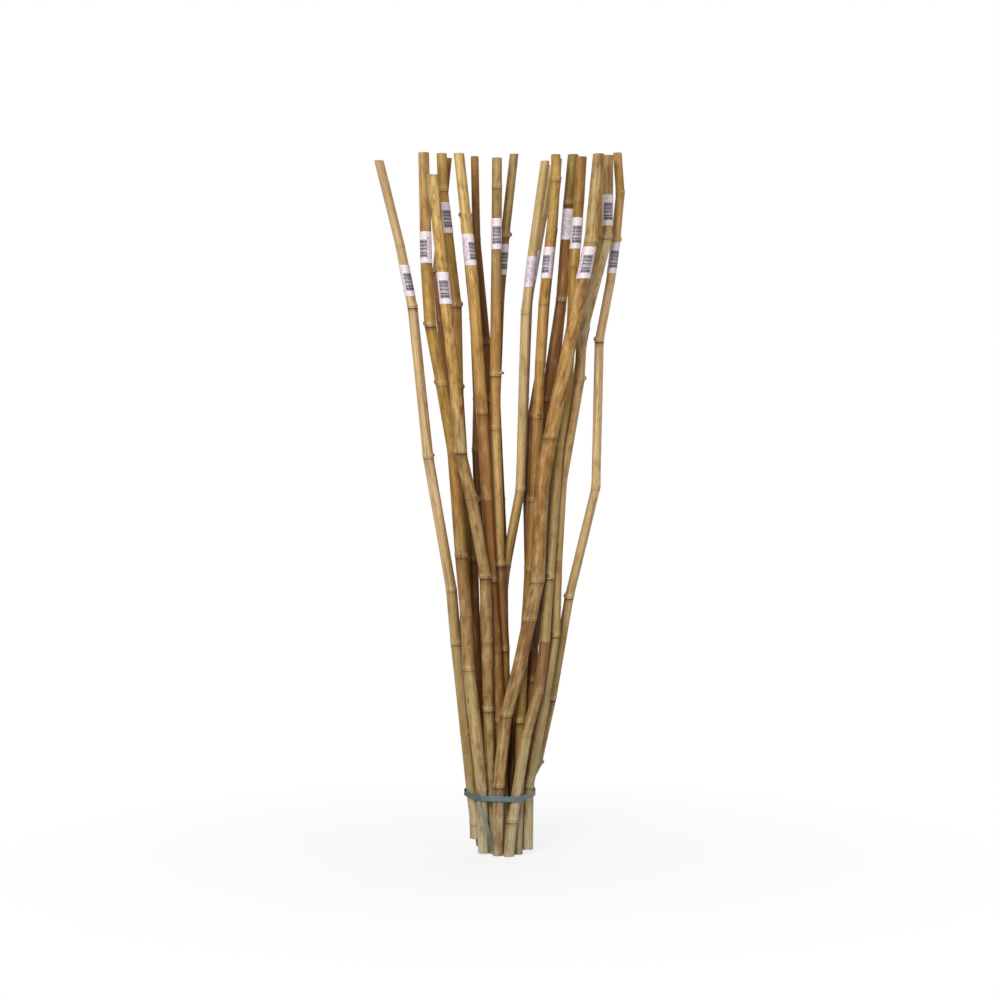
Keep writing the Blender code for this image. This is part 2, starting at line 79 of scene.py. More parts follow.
BORE_RINGS = (8 * MM, 3 * MM)  # where the bore's straight rings begin over the diaphragm and end in the cut
BORE_STEPS = 6
GRAIN_SHIFT = (0.2, 0.2, 0.0)  # how far a culm's skin may be shifted in the grain, so that no two match
OVAL = 0.22 * MM              # how much thinner a culm is one way than the other
WAVE_DEPTH = 0.12 * MM
WAVE_LENGTH = 41 * MM
# The bells that make the ring at a node: how high each stands, how far its middle lies over the node,
# and how wide it is, in mm. They are the swelling, the sheath's scar, a broad rise and a sharp groove.
RING_BELLS = ((0.85, 2.6, 2.4), (0.75, -1.8, 0.9), (0.25, 0.0, 8.0), (-0.5, -0.3, 0.8))
SWELLING = (0.35, 1.0)        # how strong the rings are, from the faintest to the strongest
MARKING = (0.15, 1.0)         # how strongly the nodes are marked in colour
# A dormant bud: its height and half width, how far it lies over its node and its half length, and how
# far in radians it strays from the side opposite to the last one
BUD_RISE = 0.6 * MM
BUD_WIDTH = 2.1 * MM
BUD_OVER = 4 * MM
BUD_LENGTH = 2.6 * MM
BUD_SCATTER = 0.25
# The groove over a bud: its depth, half its width as a turn, the length over which it fades, its gap from
# the nodes under and over it, and how gently it begins and ends
GROOVE_DEPTH = 0.9 * MM
GROOVE_ANGLE = math.radians(27)
GROOVE_LENGTH = 24 * MM
GROOVE_GAP = 4 * MM
GROOVE_EASE = (8 * MM, 10 * MM)
# Cut branch stubs and swollen knuckles that stand out on one side: the node's number from the butt, its
# turn from the front towards the right in degrees, how far it stands out and its half width, in mm
KNUCKLES = {
    "cane_01": ((4, 70, 2.0, 3.5),),
    "cane_02": ((6, -75, 2.0, 4.0), (7, -80, 1.8, 4.0)),
    "cane_04": ((5, 85, 2.6, 4.5), (4, 80, 2.0, 4.0)),
    "cane_06": ((6, -60, 2.4, 5.0), (6, 75, 1.6, 4.0)),
    "cane_09": ((4, 82, 5.5, 3.0),),
    "cane_10": ((6, 80, 3.6, 4.5),),
    "cane_13": ((4, 10, 2.0, 3.5),),
    "cane_17": ((4, -12, 1.6, 4.0),),
    "cane_20": ((5, 85, 2.6, 4.0), (2, -30, 1.8, 4.0)),
    "cane_21": ((7, 85, 2.0, 4.0), (5, -85, 2.4, 4.0), (3, -80, 2.0, 4.0), (1, 80, 2.4, 4.0)),
}
# Nodes that hardly show, as many do where the sheath fell off early: their numbers from the butt
FLUSH_NODES = {
    "cane_01": (1, 6), "cane_02": (0, 1, 3, 5, 8), "cane_03": (1, 5), "cane_04": (3,), "cane_06": (3, 5),
    "cane_10": (5,), "cane_11": (5,), "cane_13": (5, 7), "cane_17": (2, 3, 5, 7, 8, 9, 10),
    "cane_18": (2, 5, 7), "cane_20": (1, 3, 4, 6), "cane_21": (0, 6, 7),
}
FLUSH_SHARE = 0.25
# Internodes that have gone brown, above 0, or bleached, below 0, counted from the butt's internode as 0;
# cane_20's internode 7 is painted light, lifting the shadow that cane_18 casts on it
BROWNING_AND_PAINTED_LIGHT = {
    "cane_01": {3: 0.15, 5: 0.08, 7: 0.22},
    "cane_02": {1: -0.3, 2: -0.2, 3: 0.4, 4: 0.4, 5: 0.0, 7: 0.1, 8: 0.15},
    "cane_03": {0: 0.1, 1: 0.45, 2: 0.15, 3: 0.15, 4: 0.35, 5: -0.1},
    "cane_04": {3: 0.4, 4: 0.3, 5: 0.2, 7: 0.05},
    "cane_06": {0: 0.35, 1: 0.4, 2: 0.85, 3: 0.8, 4: 0.6, 5: 0.1, 6: 0.0},
    "cane_08": {7: 0.3},
    "cane_09": {1: 0.35, 2: 0.8, 3: -0.3, 4: 0.1, 5: 0.35, 6: 0.1},
    "cane_10": {5: 0.6, 6: 0.5, 7: 0.1},
    "cane_11": {3: 0.2, 4: -0.4, 5: -0.45, 6: -0.45},
    "cane_12": {7: -0.5},
    "cane_13": {4: 0.3, 5: 0.1, 6: 0.05, 7: 0.2},
    "cane_15": {5: 0.6, 6: 0.75, 7: 0.85},
    "cane_17": {1: -0.2, 2: 0.35, 3: 0.85, 4: 0.15, 8: 0.15, 9: 0.3, 10: 0.25, 11: 0.2},
    "cane_18": {0: 0.4, 1: 0.25, 2: 0.4, 3: 0.65, 4: -0.1, 5: 0.2, 6: 0.15, 7: 0.15, 8: 0.2},
    "cane_19": {3: 0.3, 4: 0.4, 5: 0.2},
    # cane_20's internode 7, at -0.9, is painted light that lifts the shadow cast on it by cane_18
    "cane_20": {0: 0.0, 1: -0.3, 4: -0.1, 7: -0.9},
    "cane_21": {3: -0.25, 8: -0.1},
}
KNUCKLE_RISE = 3.2 * MM       # how far above its node a knuckle's middle lies
BROWN_SCATTER = 0.07          # how much the browning of the internodes that aren't listed varies


def packed_corners(node):
    """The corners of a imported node's mesh."""
    mesh = frame["nodes"][node].data
    corners = np.empty(3 * len(mesh.vertices))
    mesh.vertices.foreach_get("co", corners)
    return corners.reshape(-1, 3)


class Culm:
    """One packed culm, read back as its rings: where its middle and its wall lie at any height."""

    def __init__(self, name, seed):
        corners = np.unique(np.round(packed_corners(name), 5), axis=0)
        corners = corners[np.argsort(corners[:, 2])]
        rings = np.split(corners, np.flatnonzero(np.diff(corners[:, 2]) > SAME_LEVEL) + 1)
        middles = np.array([ring.mean(axis=0) for ring in rings])
        spans = [np.linalg.norm(ring[:, :2] - middle[:2], axis=1) for ring, middle in zip(rings, middles)]
        widest = np.array([span.max() for span in spans])
        wall = widest > BORE_SHARE * np.median(widest)
        self.name = name
        self.bore = (spans[0].min(), spans[-1].min())
        self.floors = tuple(middles[~wall, 2])
        middles = middles[wall]
        widest = widest[wall]
        self.bottom = middles[0, 2]
        self.top = middles[-1, 2]
        # The wall's rings are the butt's, three at each node with its crest in the middle, and the tip's
        crest = np.zeros(len(middles), dtype=bool)
        crest[2::3] = True
        self.crests = middles[crest, 2]
        self.wall_heights = middles[~crest, 2]
        self.wall_radii = widest[~crest]
        # The middle line runs from crest to crest, and on past both cuts far enough to round a kink there
        line = np.vstack([middles[0], middles[crest], middles[-1]])
        reach = 4 * KINK
        first = line[0] + (line[0] - line[1]) * reach / (line[1, 2] - line[0, 2])
        last = line[-1] + (line[-1] - line[-2]) * reach / (line[-1, 2] - line[-2, 2])
        self.line = np.vstack([first, line, last])
        draw = np.random.default_rng(seed)
        count = len(self.crests)
        self.swelling = draw.uniform(*SWELLING, count)
        self.marking = draw.uniform(*MARKING, count)
        flush = list(FLUSH_NODES.get(name, ()))
        self.swelling[flush] *= FLUSH_SHARE
        self.marking[flush] *= FLUSH_SHARE
        self.knuckles = KNUCKLES.get(name, ())
        first_bud = draw.uniform(0, math.tau)
        self.buds = first_bud + math.pi * np.arange(count) + draw.normal(0, BUD_SCATTER, count)
        self.phase = draw.uniform(0, math.tau, 3)
        self.browning_and_painted_light = draw.normal(0, BROWN_SCATTER, count + 1)
        for place, amount in BROWNING_AND_PAINTED_LIGHT.get(name, {}).items():
            self.browning_and_painted_light[place] = amount
        self.draw = draw

    def middle(self, heights):
        """The centre line at each height: straight internodes, each kink rounded by a running mean."""
        window = np.asarray(heights, dtype=float)[..., None] + np.linspace(-KINK, KINK, 7)
        return np.stack([np.interp(window, self.line[:, 2], self.line[:, axis]).mean(axis=-1)
                         for axis in range(2)], axis=-1)

    def radius(self, heights):
        """Half the culm's thickness at each height, without its nodes."""
        return np.interp(heights, self.wall_heights, self.wall_radii)

    def brown(self, heights):
        """How brown the skin is at each height: its internode's own value, which changes at the sheath
        scars and falls to two thirds from each internode's top down to its foot.
        """
        edges = np.concatenate([[self.bottom], self.crests - MM, [self.top]])
        which = np.clip(np.searchsorted(edges, heights) - 1, 0, len(edges) - 2)
        share = np.clip((heights - edges[which]) / (edges[which + 1] - edges[which]), 0.0, 1.0)
        return self.browning_and_painted_light[which] * (2.0 + share) / 3.0

    def nearest(self, heights):
        """For each height, which node is nearest and how far above it the height lies."""
        which = np.abs(heights[:, None] - self.crests).argmin(axis=1)
        return which, heights - self.crests[which]


def hump(at, width):
    """A bell: 1 at 0, falling off over width."""
    return np.exp(-(at / width) ** 2)


def ease(at):
    """A smooth step from 0 at 0 to 1 at 1."""
    at = np.clip(at, 0.0, 1.0)
    return at * at * (3.0 - 2.0 * at)


def turn_from(start, angles):
    """How far each angle is turned from a start, from minus to plus half a turn."""
    return np.angle(np.exp(1j * (angles - start)))


def knuckle_field(culm, heights, angles):
    """How strongly each knuckle stands at every height and angle: one array, from 0 to 1, for each.

    It falls off round the knuckle's middle as a bell of the fourth power of the distance along the
    surface over the half width, so that the knuckle has a blunt top and steep sides.
    """
    fields = []
    for count, turn, _, half in culm.knuckles:
        rise = heights - (culm.crests[count] + KNUCKLE_RISE)
        aside = turn_from(math.radians(turn - 90), angles)[None, :] * culm.radius(heights)[:, None]
        away = (rise[:, None] ** 2 + aside ** 2) / (half * MM) ** 2
        fields.append(np.exp(-away ** 2))
    return fields


def wall_surface(culm, heights, angles):
    """Radius of the outside by height and angle.

    The culm's own radius, less a slight oval and waviness, plus at each node the bells of its ring, and
    its knuckles. Over every node the side with the bud is hollowed into a shallow groove that runs out
    up the internode, and the bud is a small bell at its foot.
    """
    which, rise = culm.nearest(heights)
    ring = culm.swelling[which] * sum(size * MM * hump(rise - over * MM, width * MM)
                                      for size, over, width in RING_BELLS)
    below = np.clip(np.searchsorted(culm.crests, heights, side="right") - 1, 0, len(culm.crests) - 1)
    above = np.append(culm.crests, culm.top + NODE_REACH)[below + 1]
    climb = heights - culm.crests[below]
    groove = (GROOVE_DEPTH * ease((climb - GROOVE_GAP) / GROOVE_EASE[0])
              * np.exp(-np.maximum(climb, 0.0) / GROOVE_LENGTH)
              * ease((above - heights - GROOVE_GAP) / GROOVE_EASE[1]))
    turn = turn_from(culm.buds[below][:, None], angles[None, :])
    plain = culm.radius(heights)
    beside_bud = turn_from(culm.buds[which][:, None], angles[None, :]) * plain[:, None]
    bud = BUD_RISE * hump(rise - BUD_OVER, BUD_LENGTH)[:, None] * hump(beside_bud, BUD_WIDTH)
    oval = 0.5 * OVAL * (1.0 - np.cos(2 * (angles[None, :] - culm.phase[0])))
    wave = WAVE_DEPTH * (1.0 + np.sin(heights / WAVE_LENGTH + culm.phase[1]))
    knuckles = sum(out * MM * field for (_, _, out, _), field
                   in zip(culm.knuckles, knuckle_field(culm, heights, angles)))
    return ((plain - wave + ring)[:, None] - oval + bud + knuckles
            - groove[:, None] * hump(turn, GROOVE_ANGLE))


def fill_mesh(name, points, quads, triangles=None):
    """A mesh from an array of points, an array of four-cornered faces and one of three-cornered ones."""
    if triangles is None:
        triangles = np.empty((0, 3), dtype=int)
    mesh = bpy.data.meshes.new(name)
    mesh.vertices.add(len(points))
    mesh.vertices.foreach_set("co", np.asarray(points, dtype=float).ravel())
    mesh.loops.add(quads.size + triangles.size)
    mesh.loops.foreach_set("vertex_index", np.concatenate([quads.ravel(), triangles.ravel()]))
    mesh.polygons.add(len(quads) + len(triangles))
    starts = np.concatenate([4 * np.arange(len(quads)), quads.size + 3 * np.arange(len(triangles))])
    mesh.polygons.foreach_set("loop_start", starts)
    mesh.update(calc_edges=True)
    mesh.shade_smooth()
    return mesh


def grid_faces(rows, columns, closed):
    """Four-cornered faces between neighbouring rows and columns of a grid of points."""
    row = np.arange(rows - 1)[:, None]
    column = np.arange(columns if closed else columns - 1)[None, :]
    following = (column + 1) % columns
    corners = [row * columns + column, row * columns + following,
               (row + 1) * columns + following, (row + 1) * columns + column]
    return np.stack(corners, axis=-1).reshape(-1, 4)


def new_object(name, data):
    """A new object in the scene, for a mesh, a lamp or a camera."""
    made = bpy.data.objects.new(name, data)
    bpy.context.scene.collection.objects.link(made)
    return made


def add_piece(name, mesh, node, material):
    """The finished piece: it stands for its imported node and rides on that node's body."""
    piece = new_object(name, mesh)
    mesh.materials.append(material)
    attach(piece, body_of[node])
    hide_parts(node)
    return piece


def sawn_end(culm, end, angles):
    """Rings of one sawn end from the middle of its bore's floor out to the worn edge of the cut.

    The bore runs straight from the floor to the cut, and the cut is level but for the saw's marks,
    which go into the wall. Returns the heights and the radii of the rings by angle.
    """
    cut, floor, inward = ((culm.bottom, culm.floors[0], 1.0), (culm.top, culm.floors[1], -1.0))[end]
    bore = culm.bore[end]
    outer = wall_surface(culm, np.array([cut + inward * RIM]), angles)[0]
    marks = SAW_DEPTH * culm.draw.uniform(0, 1, (len(CUT_RINGS), len(angles)))
    along = [floor - inward * DOME, floor, floor - inward * FILLET]
    along += list(np.linspace(floor - inward * BORE_RINGS[0], cut + inward * BORE_RINGS[1], BORE_STEPS))
    radii = [0.5 * bore, bore - DOME] + [bore] * (BORE_STEPS + 1)
    heights = [np.full(len(angles), at) for at in along]
    rounds = [np.full(len(angles), size) for size in radii]
    for share, mark in zip(CUT_RINGS, marks):
        rounds.append(bore + share * (outer - bore))
        heights.append(cut + inward * mark)
    rounds[-1] = outer - RIM
    return np.array(heights), np.array(rounds)


def end_fans(rows, columns):
    """Triangles that close a grid's first and last row, each round a middle point that follows the grid."""
    column = np.arange(columns)
    following = (column + 1) % columns
    first = np.stack([np.full(columns, rows * columns), following, column], axis=1)
    last = np.stack([np.full(columns, 1), column - columns, following - columns], axis=1) + rows * columns
    return np.concatenate([first, last])


def paint_points(mesh, label, values):
    """Gives each point of a mesh a number or a vector, which a material reads by its label."""
    kind, key = ("FLOAT", "value") if np.ndim(values) == 1 else ("FLOAT_VECTOR", "vector")
    mesh.attributes.new(label, kind, "POINT").data.foreach_set(key, np.ravel(values))


def culm_mesh(culm):
    """The whole skin of a culm: butt bore, butt cut, wall, tip cut, tip bore, as one closed grid.

    Each point is painted with its zone, which is 0 on the wall, 1 on a cut and 2 in a bore, with its
    height over the nearest node, how marked that node is, how much it lies on a knuckle, how brown its
    internode is, and its place in the grain, which is its place about the culm's own middle line.
    """
    angles = math.tau * np.arange(CULM_SIDES) / CULM_SIDES
    plain = np.arange(culm.bottom + RIM, culm.top - RIM, WALL_STEP)
    plain = plain[np.abs(plain[:, None] - culm.crests).min(axis=1) > NODE_REACH]
    close = (culm.crests[:, None] + np.arange(-NODE_REACH, NODE_REACH, NODE_STEP)).ravel()
    close = close[(close > culm.bottom + RIM) & (close < culm.top - RIM)]
    levels = np.unique(np.concatenate([plain, close, [culm.bottom + RIM, culm.top - RIM]]))
    levels = levels[np.append(True, np.diff(levels) > LEAST_STEP)]
    butt_heights, butt_radii = sawn_end(culm, 0, angles)
    tip_heights, tip_radii = sawn_end(culm, 1, angles)
    wall_heights = np.repeat(levels[:, None], CULM_SIDES, axis=1)
    heights = np.concatenate([butt_heights, wall_heights, tip_heights[::-1]])
    radii = np.concatenate([butt_radii, wall_surface(culm, levels, angles), tip_radii[::-1]])
    offsets = np.stack([radii * np.cos(angles), radii * np.sin(angles)], axis=-1)
    points = np.concatenate([culm.middle(heights) + offsets, heights[..., None]], axis=-1)
    rows = len(heights)
    pole_levels = np.array(culm.floors) - DOME * np.array([1.0, -1.0])
    poles = np.column_stack([culm.middle(pole_levels), pole_levels])
    skin = np.concatenate([points.reshape(-1, 3), poles])
    mesh = fill_mesh(culm.name, skin, grid_faces(rows, CULM_SIDES, True), end_fans(rows, CULM_SIDES))
    from_end = np.minimum(np.arange(rows), np.arange(rows)[::-1])
    ends = len(butt_heights)
    zone = np.where(from_end < ends - len(CUT_RINGS), 2.0, np.where(from_end < ends, 1.0, 0.0))
    which, gap = culm.nearest(heights[:, 0])
    knuckle = sum(knuckle_field(culm, heights[:, 0], angles), np.zeros((rows, CULM_SIDES)))
    # Each attribute's values by row, and its value at the two poles
    paint = {"zone": (zone, 2.0), "node_gap": (gap, 1.0), "node_mark": (culm.marking[which], 0.0),
             "knuckle": (knuckle, 0.0), "browning_and_painted_light": (culm.brown(heights[:, 0]), 0.0)}
    for label, (values, at_poles) in paint.items():
        if values.ndim == 1:
            values = np.repeat(values, CULM_SIDES)
        paint_points(mesh, label, np.append(values, [at_poles, at_poles]))
    grain = np.concatenate([offsets, heights[..., None]], axis=-1).reshape(-1, 3)
    grain = np.concatenate([grain, poles * [0.0, 0.0, 1.0]])
    paint_points(mesh, "grain", grain + culm.draw.uniform(-1, 1, 3) * GRAIN_SHIFT)
    mesh.set_sharp_from_angle(angle=math.radians(50))
    return mesh


def linear(hex_colour):
    """A colour given as sRGB hex digits, as the linear values that a shader takes."""
    parts = [int(hex_colour[i:i + 2], 16) / 255 for i in (0, 2, 4)]
    return (*[c / 12.92 if c <= 0.04045 else ((c + 0.055) / 1.055) ** 2.4 for c in parts], 1.0)


def set_sockets(tree, node, sockets):
    """Sets a node's inputs. One that is given another node, or one of its outputs, is linked to it."""
    for key, value in sockets.items():
        if isinstance(value, bpy.types.Node):
            value = next(output for output in value.outputs if output.enabled)
        if isinstance(value, bpy.types.NodeSocket):
            tree.links.new(value, node.inputs[key])
        else:
            node.inputs[key].default_value = value


def add_node(tree, kind, sockets=None, stops=(), **settings):
    """Adds a shader node. stops are the (place, colour) pairs of a ramp, from its low end up."""
    made = tree.nodes.new(kind)
    for key, value in settings.items():
        setattr(made, key, value)
    set_sockets(tree, made, sockets or {})
    if stops:
        ramp = made.color_ramp.elements
        ramp.remove(ramp[1])
        ramp[0].position, ramp[0].color = stops[0]
        for place, colour in stops[1:]:
            ramp.new(place).color = colour
    return made


def grey(value):
    """A grey for a ramp that carries a number and no colour."""
    return (value, value, value, 1.0)


def new_material(name):
    """An empty material with its shader, which is returned too."""
    material = bpy.data.materials.new(name)
    material.use_nodes = True
    return material, material.node_tree, material.node_tree.nodes["Principled BSDF"]


# What the dried culms look like. A waxy skin that has turned from green to straw, honey or brown, with
# fibres that run its whole length, stains and mould specks from lying damp, a pale worn ridge and a
# dark sheath scar at every node, and dust on the butt.
CULM_LENGTH = 1.222
SHADES = {
    "dusty": "B5A782", "khaki": "A58D58", "straw": "CBA866", "honey": "BC9149", "ochre": "AE8936",
    "tan": "B18B55", "olive": "89702E", "ash": "86724B", "bronze": "997031", "chestnut": "86501E",
    "umber": "6A3F17", "sand": "CCAC7C",
}
# Where along the culm, as a share of its length, each of its six shades is purest
SHADE_PLACES = (0.03, 0.14, 0.3, 0.5, 0.74, 0.95)
# The six shades of each culm from butt to tip, and how heavily it is stained
CULM_SHADES = {
    "cane_01": ("dusty khaki khaki sand sand sand", 0.3),
    "cane_02": ("dusty khaki khaki bronze ochre tan", 0.7),
    "cane_03": ("ash khaki khaki khaki honey straw", 0.95),
    "cane_04": ("ash olive olive ochre honey ochre", 0.45),
    "cane_05": ("ash chestnut chestnut umber chestnut bronze", 0.5),
    "cane_06": ("ash bronze bronze bronze honey straw", 0.6),
    "cane_07": ("ash umber chestnut umber umber chestnut", 0.4),
    "cane_08": ("ash umber chestnut umber chestnut bronze", 0.4),
    "cane_09": ("ash bronze bronze honey honey khaki", 0.45),
    "cane_10": ("ash chestnut bronze umber bronze khaki", 0.5),
    "cane_11": ("ash olive olive straw sand straw", 0.2),
    "cane_12": ("ash bronze bronze bronze honey sand", 0.3),
    "cane_13": ("ash olive bronze bronze honey ochre", 0.6),
    "cane_14": ("ash umber umber umber umber bronze", 0.4),
    "cane_15": ("ash chestnut umber chestnut bronze olive", 0.45),
    "cane_16": ("ash umber umber umber chestnut ochre", 0.4),
    "cane_17": ("dusty khaki khaki khaki ochre bronze", 0.4),
    "cane_18": ("khaki khaki khaki bronze honey khaki", 0.95),
    "cane_19": ("ash chestnut chestnut chestnut bronze ochre", 0.45),
    # cane_20's fifth shade, sand, is painted light too, lifting the shadow that cane_18 casts on it
    "cane_20": ("dusty khaki khaki tan sand tan", 0.5),
    "cane_21": ("dusty khaki olive sand sand honey", 0.3),
}
FIRST_SEED = 300
SAWN_ROUGHNESS = 0.9
# The patterns in a culm's skin: how many of its marks fit in a metre across and along the culm, how
# finely they break up, and how rough that is. Clouds are a hand's width long, fibre bundles lie about a
# millimetre apart, stripes are some four millimetres wide, streaks are up to ten centimetres long, damp
# stains one to three centimetres, and mould specks one to two millimetres.
SKIN_PATTERNS = {
    "cloud": (60.0, 9.0, 3.0, 0.5), "fibre": (850.0, 12.0, 3.0, 0.5), "stripe": (210.0, 3.5, 2.0, 0.5),
    "streak": (330.0, 11.0, 4.0, 0.6), "stain": (95.0, 30.0, 6.0, 0.62), "speck": (420.0, 300.0, 2.0, 0.5),
}
NODE_MARKED = 20 * MM         # how far on either side of a node its marks reach
# How strong the dark line of the scar is, and the pale wear on the ridge over it, from the lowest marked
# place at a node, 0, to the highest, 1
SCAR_STOPS = ((0.18, 0.0), (0.33, 0.3), (0.405, 1.0), (0.44, 0.75), (0.452, 0.0), (0.475, 0.0),
              (0.495, 0.8), (0.515, 0.0), (0.56, 0.0))
RIDGE_STOPS = ((0.435, 0.0), (0.455, 0.9), (0.48, 0.4), (0.56, 0.85), (0.66, 0.25), (0.82, 0.0))


def dried_culm(name, tones, staining):
    """Air-dried bamboo: long fibres in a waxy skin, so it has a soft satin gloss with fine streaks."""
    material, tree, surface = new_material(name)
    grain = add_node(tree, "ShaderNodeAttribute", attribute_name="grain").outputs["Vector"]
    values = {}
    for label in ("node_gap", "node_mark", "zone", "knuckle", "browning_and_painted_light"):
        values[label] = add_node(tree, "ShaderNodeAttribute", attribute_name=label).outputs["Fac"]
    for pattern, (across, along, detail, rough) in SKIN_PATTERNS.items():
        spread = add_node(tree, "ShaderNodeMapping", {0: grain, "Scale": (across, across, along)})
        values[pattern] = add_node(tree, "ShaderNodeTexNoise",
                                   {0: spread, "Scale": 1.0, "Detail": detail, "Roughness": rough})
    # Clouds carry one shade into the next unevenly
    height = add_node(tree, "ShaderNodeSeparateXYZ", {0: grain}).outputs["Z"]
    share = add_node(tree, "ShaderNodeMath", {0: height, 1: CULM_LENGTH}, operation="DIVIDE")
    drift = add_node(tree, "ShaderNodeMapRange", {0: values["cloud"], 1: 0.3, 2: 0.7, 3: -0.08, 4: 0.08})
    values["place"] = add_node(tree, "ShaderNodeMath", {0: share, 1: drift}, operation="ADD")
    shades = [linear(SHADES[tone]) for tone in tones.split()]
    colour = add_node(tree, "ShaderNodeValToRGB", {0: values["place"]}, list(zip(SHADE_PLACES, shades)))
    # Each line gives two values of a pattern or an attribute, and the strengths that they stand for
    strengths = {
        "whole_brown": ("browning_and_painted_light", 0.0, 1.0, 0.0, 1.0),
        "brown_break": ("cloud", 0.35, 0.65, 0.75, 1.1),
        "bleach_and_painted_light": ("browning_and_painted_light", 0.0, -1.0, 0.0, 1.0),
        "fibre_shade": ("fibre", 0.3, 0.7, 0.82, 1.12),
        "stripe_shade": ("stripe", 0.32, 0.68, 0.72, 1.14),
        "streaks": ("streak", 0.48, 0.68, 0.0, 0.45 + 0.5 * staining),
        "patches": ("stain", 0.45, 0.36, 0.0, 0.4 * staining),
        "stains": ("stain", 0.56 - 0.08 * staining, 0.66 - 0.04 * staining, 0.0, 0.2 + 0.65 * staining),
        "specks": ("speck", 0.63, 0.71, 0.0, 0.55),
        "at_node": ("node_gap", -NODE_MARKED, NODE_MARKED, 0.0, 1.0),
        "ridge_wear": ("stripe", 0.35, 0.6, 0.0, 0.75),
        "cut_face": ("knuckle", 0.35, 0.9, 0.0, 0.75),
        "near_ground": ("place", 0.0, 0.11, 0.6, 0.0),
        "dust_break": ("stain", 0.35, 0.6, 1.0, 0.3),
        "wax": ("stain", 0.35, 0.7, 0.46, 0.68),
    }
    for label, (source, low, high, at_low, at_high) in strengths.items():
        values[label] = add_node(tree, "ShaderNodeMapRange",
                                 {0: values[source], 1: low, 2: high, 3: at_low, 4: at_high})
    for label, stops in (("scar", SCAR_STOPS), ("ridge", RIDGE_STOPS)):
        values[label] = add_node(tree, "ShaderNodeValToRGB", {0: values["at_node"]},
                                 [(at, grey(value)) for at, value in stops])
    for result, operation, first, second in (
            ("brown", "MULTIPLY", "whole_brown", "brown_break"),
            ("weather", "MULTIPLY", "fibre_shade", "stripe_shade"),
            ("scar", "MULTIPLY", "scar", "node_mark"),
            ("ridge_wear", "MULTIPLY", "ridge_wear", "node_mark"),
            ("ridge", "MULTIPLY", "ridge", "ridge_wear"),
            ("dust", "MULTIPLY", "near_ground", "dust_break"),
            ("relief", "ADD", "fibre", "speck"),
            ("cut", "GREATER_THAN", "zone", 0.5),
            ("bore", "GREATER_THAN", "zone", 1.5)):
        values[result] = add_node(tree, "ShaderNodeMath", {0: values[first], 1: values.get(second, second)},
                                  operation=operation)
    # The sawn wall is pale and dotted with the dark ends of its fibre bundles, a millimetre apart
    object_place = add_node(tree, "ShaderNodeTexCoord").outputs["Object"]
    bundle = add_node(tree, "ShaderNodeTexVoronoi", {0: object_place, "Scale": 1100.0})
    sawn = add_node(tree, "ShaderNodeValToRGB", {0: bundle},
                    [(0.16, linear("6E5030")), (0.36, linear("CDB988"))])
    # What lies over the bare skin, in the order of the layers. Whole internodes went brown or bleached, and
    # one on cane_20 is lightened as painted light against a cast shadow; then fibres and stripes weathered.
    # Streaks, patches, damp stains and mould specks came over that, then the marks at the nodes, the
    # knuckles' dark cut faces and the butt's dust. The cuts are bare.
    layers = (
        (linear("743F18"), "brown"), (linear("D2BC88"), "bleach_and_painted_light"), (None, "weather"),
        (linear("8C5C22"), "streaks"), (linear("C8AC78"), "patches"), (linear("6C4013"), "stains"),
        (linear("452A14"), "specks"), (linear("3E2410"), "scar"), (linear("CDB583"), "ridge"),
        (linear("5A3A1C"), "cut_face"), (linear("BFB192"), "dust"), (sawn, "cut"),
        (linear("7A603C"), "bore"),
    )
    for tint, strength in layers:
        if tint is None:
            colour = add_node(tree, "ShaderNodeVectorMath", {0: colour, "Scale": values[strength]},
                              operation="SCALE")
        else:
            colour = add_node(tree, "ShaderNodeMix", {0: values[strength], 6: colour, 7: tint},
                              data_type="RGBA")
    rough = add_node(tree, "ShaderNodeMix", {0: values["cut"], 2: values["wax"], 3: SAWN_ROUGHNESS},
                     data_type="FLOAT")
    bump = add_node(tree, "ShaderNodeBump",
                    {"Height": values["relief"], "Strength": 0.45, "Distance": 0.25 * MM})
    set_sockets(tree, surface, {"Base Color": colour, "Roughness": rough, "Normal": bump,
                                "IOR": 1.5, "Specular IOR Level": 0.35})
    return material


culms = {}
for seed, (name, (tones, staining)) in enumerate(CULM_SHADES.items(), FIRST_SEED):
    number = name[-2:]
    culms[name] = Culm(name, seed)
    skin = dried_culm("dried_bamboo_" + number, tones, staining)
    add_piece("culm_" + number, culm_mesh(culms[name]), name, skin)

# The price labels. Coated paper printed with a stripe code and rows of small print, stuck round the
# culm by its own glue while the surface was dusty, so the free edges lift a little.
LABEL_SIDES = 40
LABEL_ROWS = 44
LABEL_PAPER = 0.16 * MM
LABEL_GLUE = 0.14 * MM        # glue and dust between the paper and the culm
LABEL_CORNER = 2.5 * MM
LABEL_LIFT = 0.7 * MM
LIFT_FROM = 0.8               # share of its half width from which a label lifts towards its free edge
LIFT_MIDDLE = 0.4             # share of the lift that is left half way up the edge
PUCKER = 0.05 * MM
PUCKER_LENGTH = 3.1 * MM
PUCKER_SLANT = 6.0            # how far in radians the puckers shift from the middle to an edge
# Where the stripe code's middle lies across each label, in millimetres from the label's middle
CODE_PLACE = {"label_11": 22.0, "label_12": 20.0, "label_15": 21.0, "label_06": 3.0, "label_13": -2.0}
CODE_HALF_WIDTH = 8.6 * MM
CODE_HALF_LENGTH = 15.5 * MM
CODE_BELOW = 2.5 * MM         # how far the code's middle lies below the label's
STRIPES_PER_METRE = 3000.0    # a stripe is 0.33 mm, or a few of them
STRIPE_GAPS = 0.16            # share of the stripes that are left white
PRINT_ASIDE = 9.5 * MM        # how far beside the code's middle the small print begins
PRINT_HALF_LENGTH = 19 * MM
PRINT_STRENGTH = 0.55
ROWS_PER_METRE = 415.0        # rows of small print, 2.4 mm apart
ROW_INKED = 0.55              # share of a row's pitch that its print fills
DASHES_PER_METRE = 600.0
DASH_GAPS = 0.42              # share of the dashes that are left white


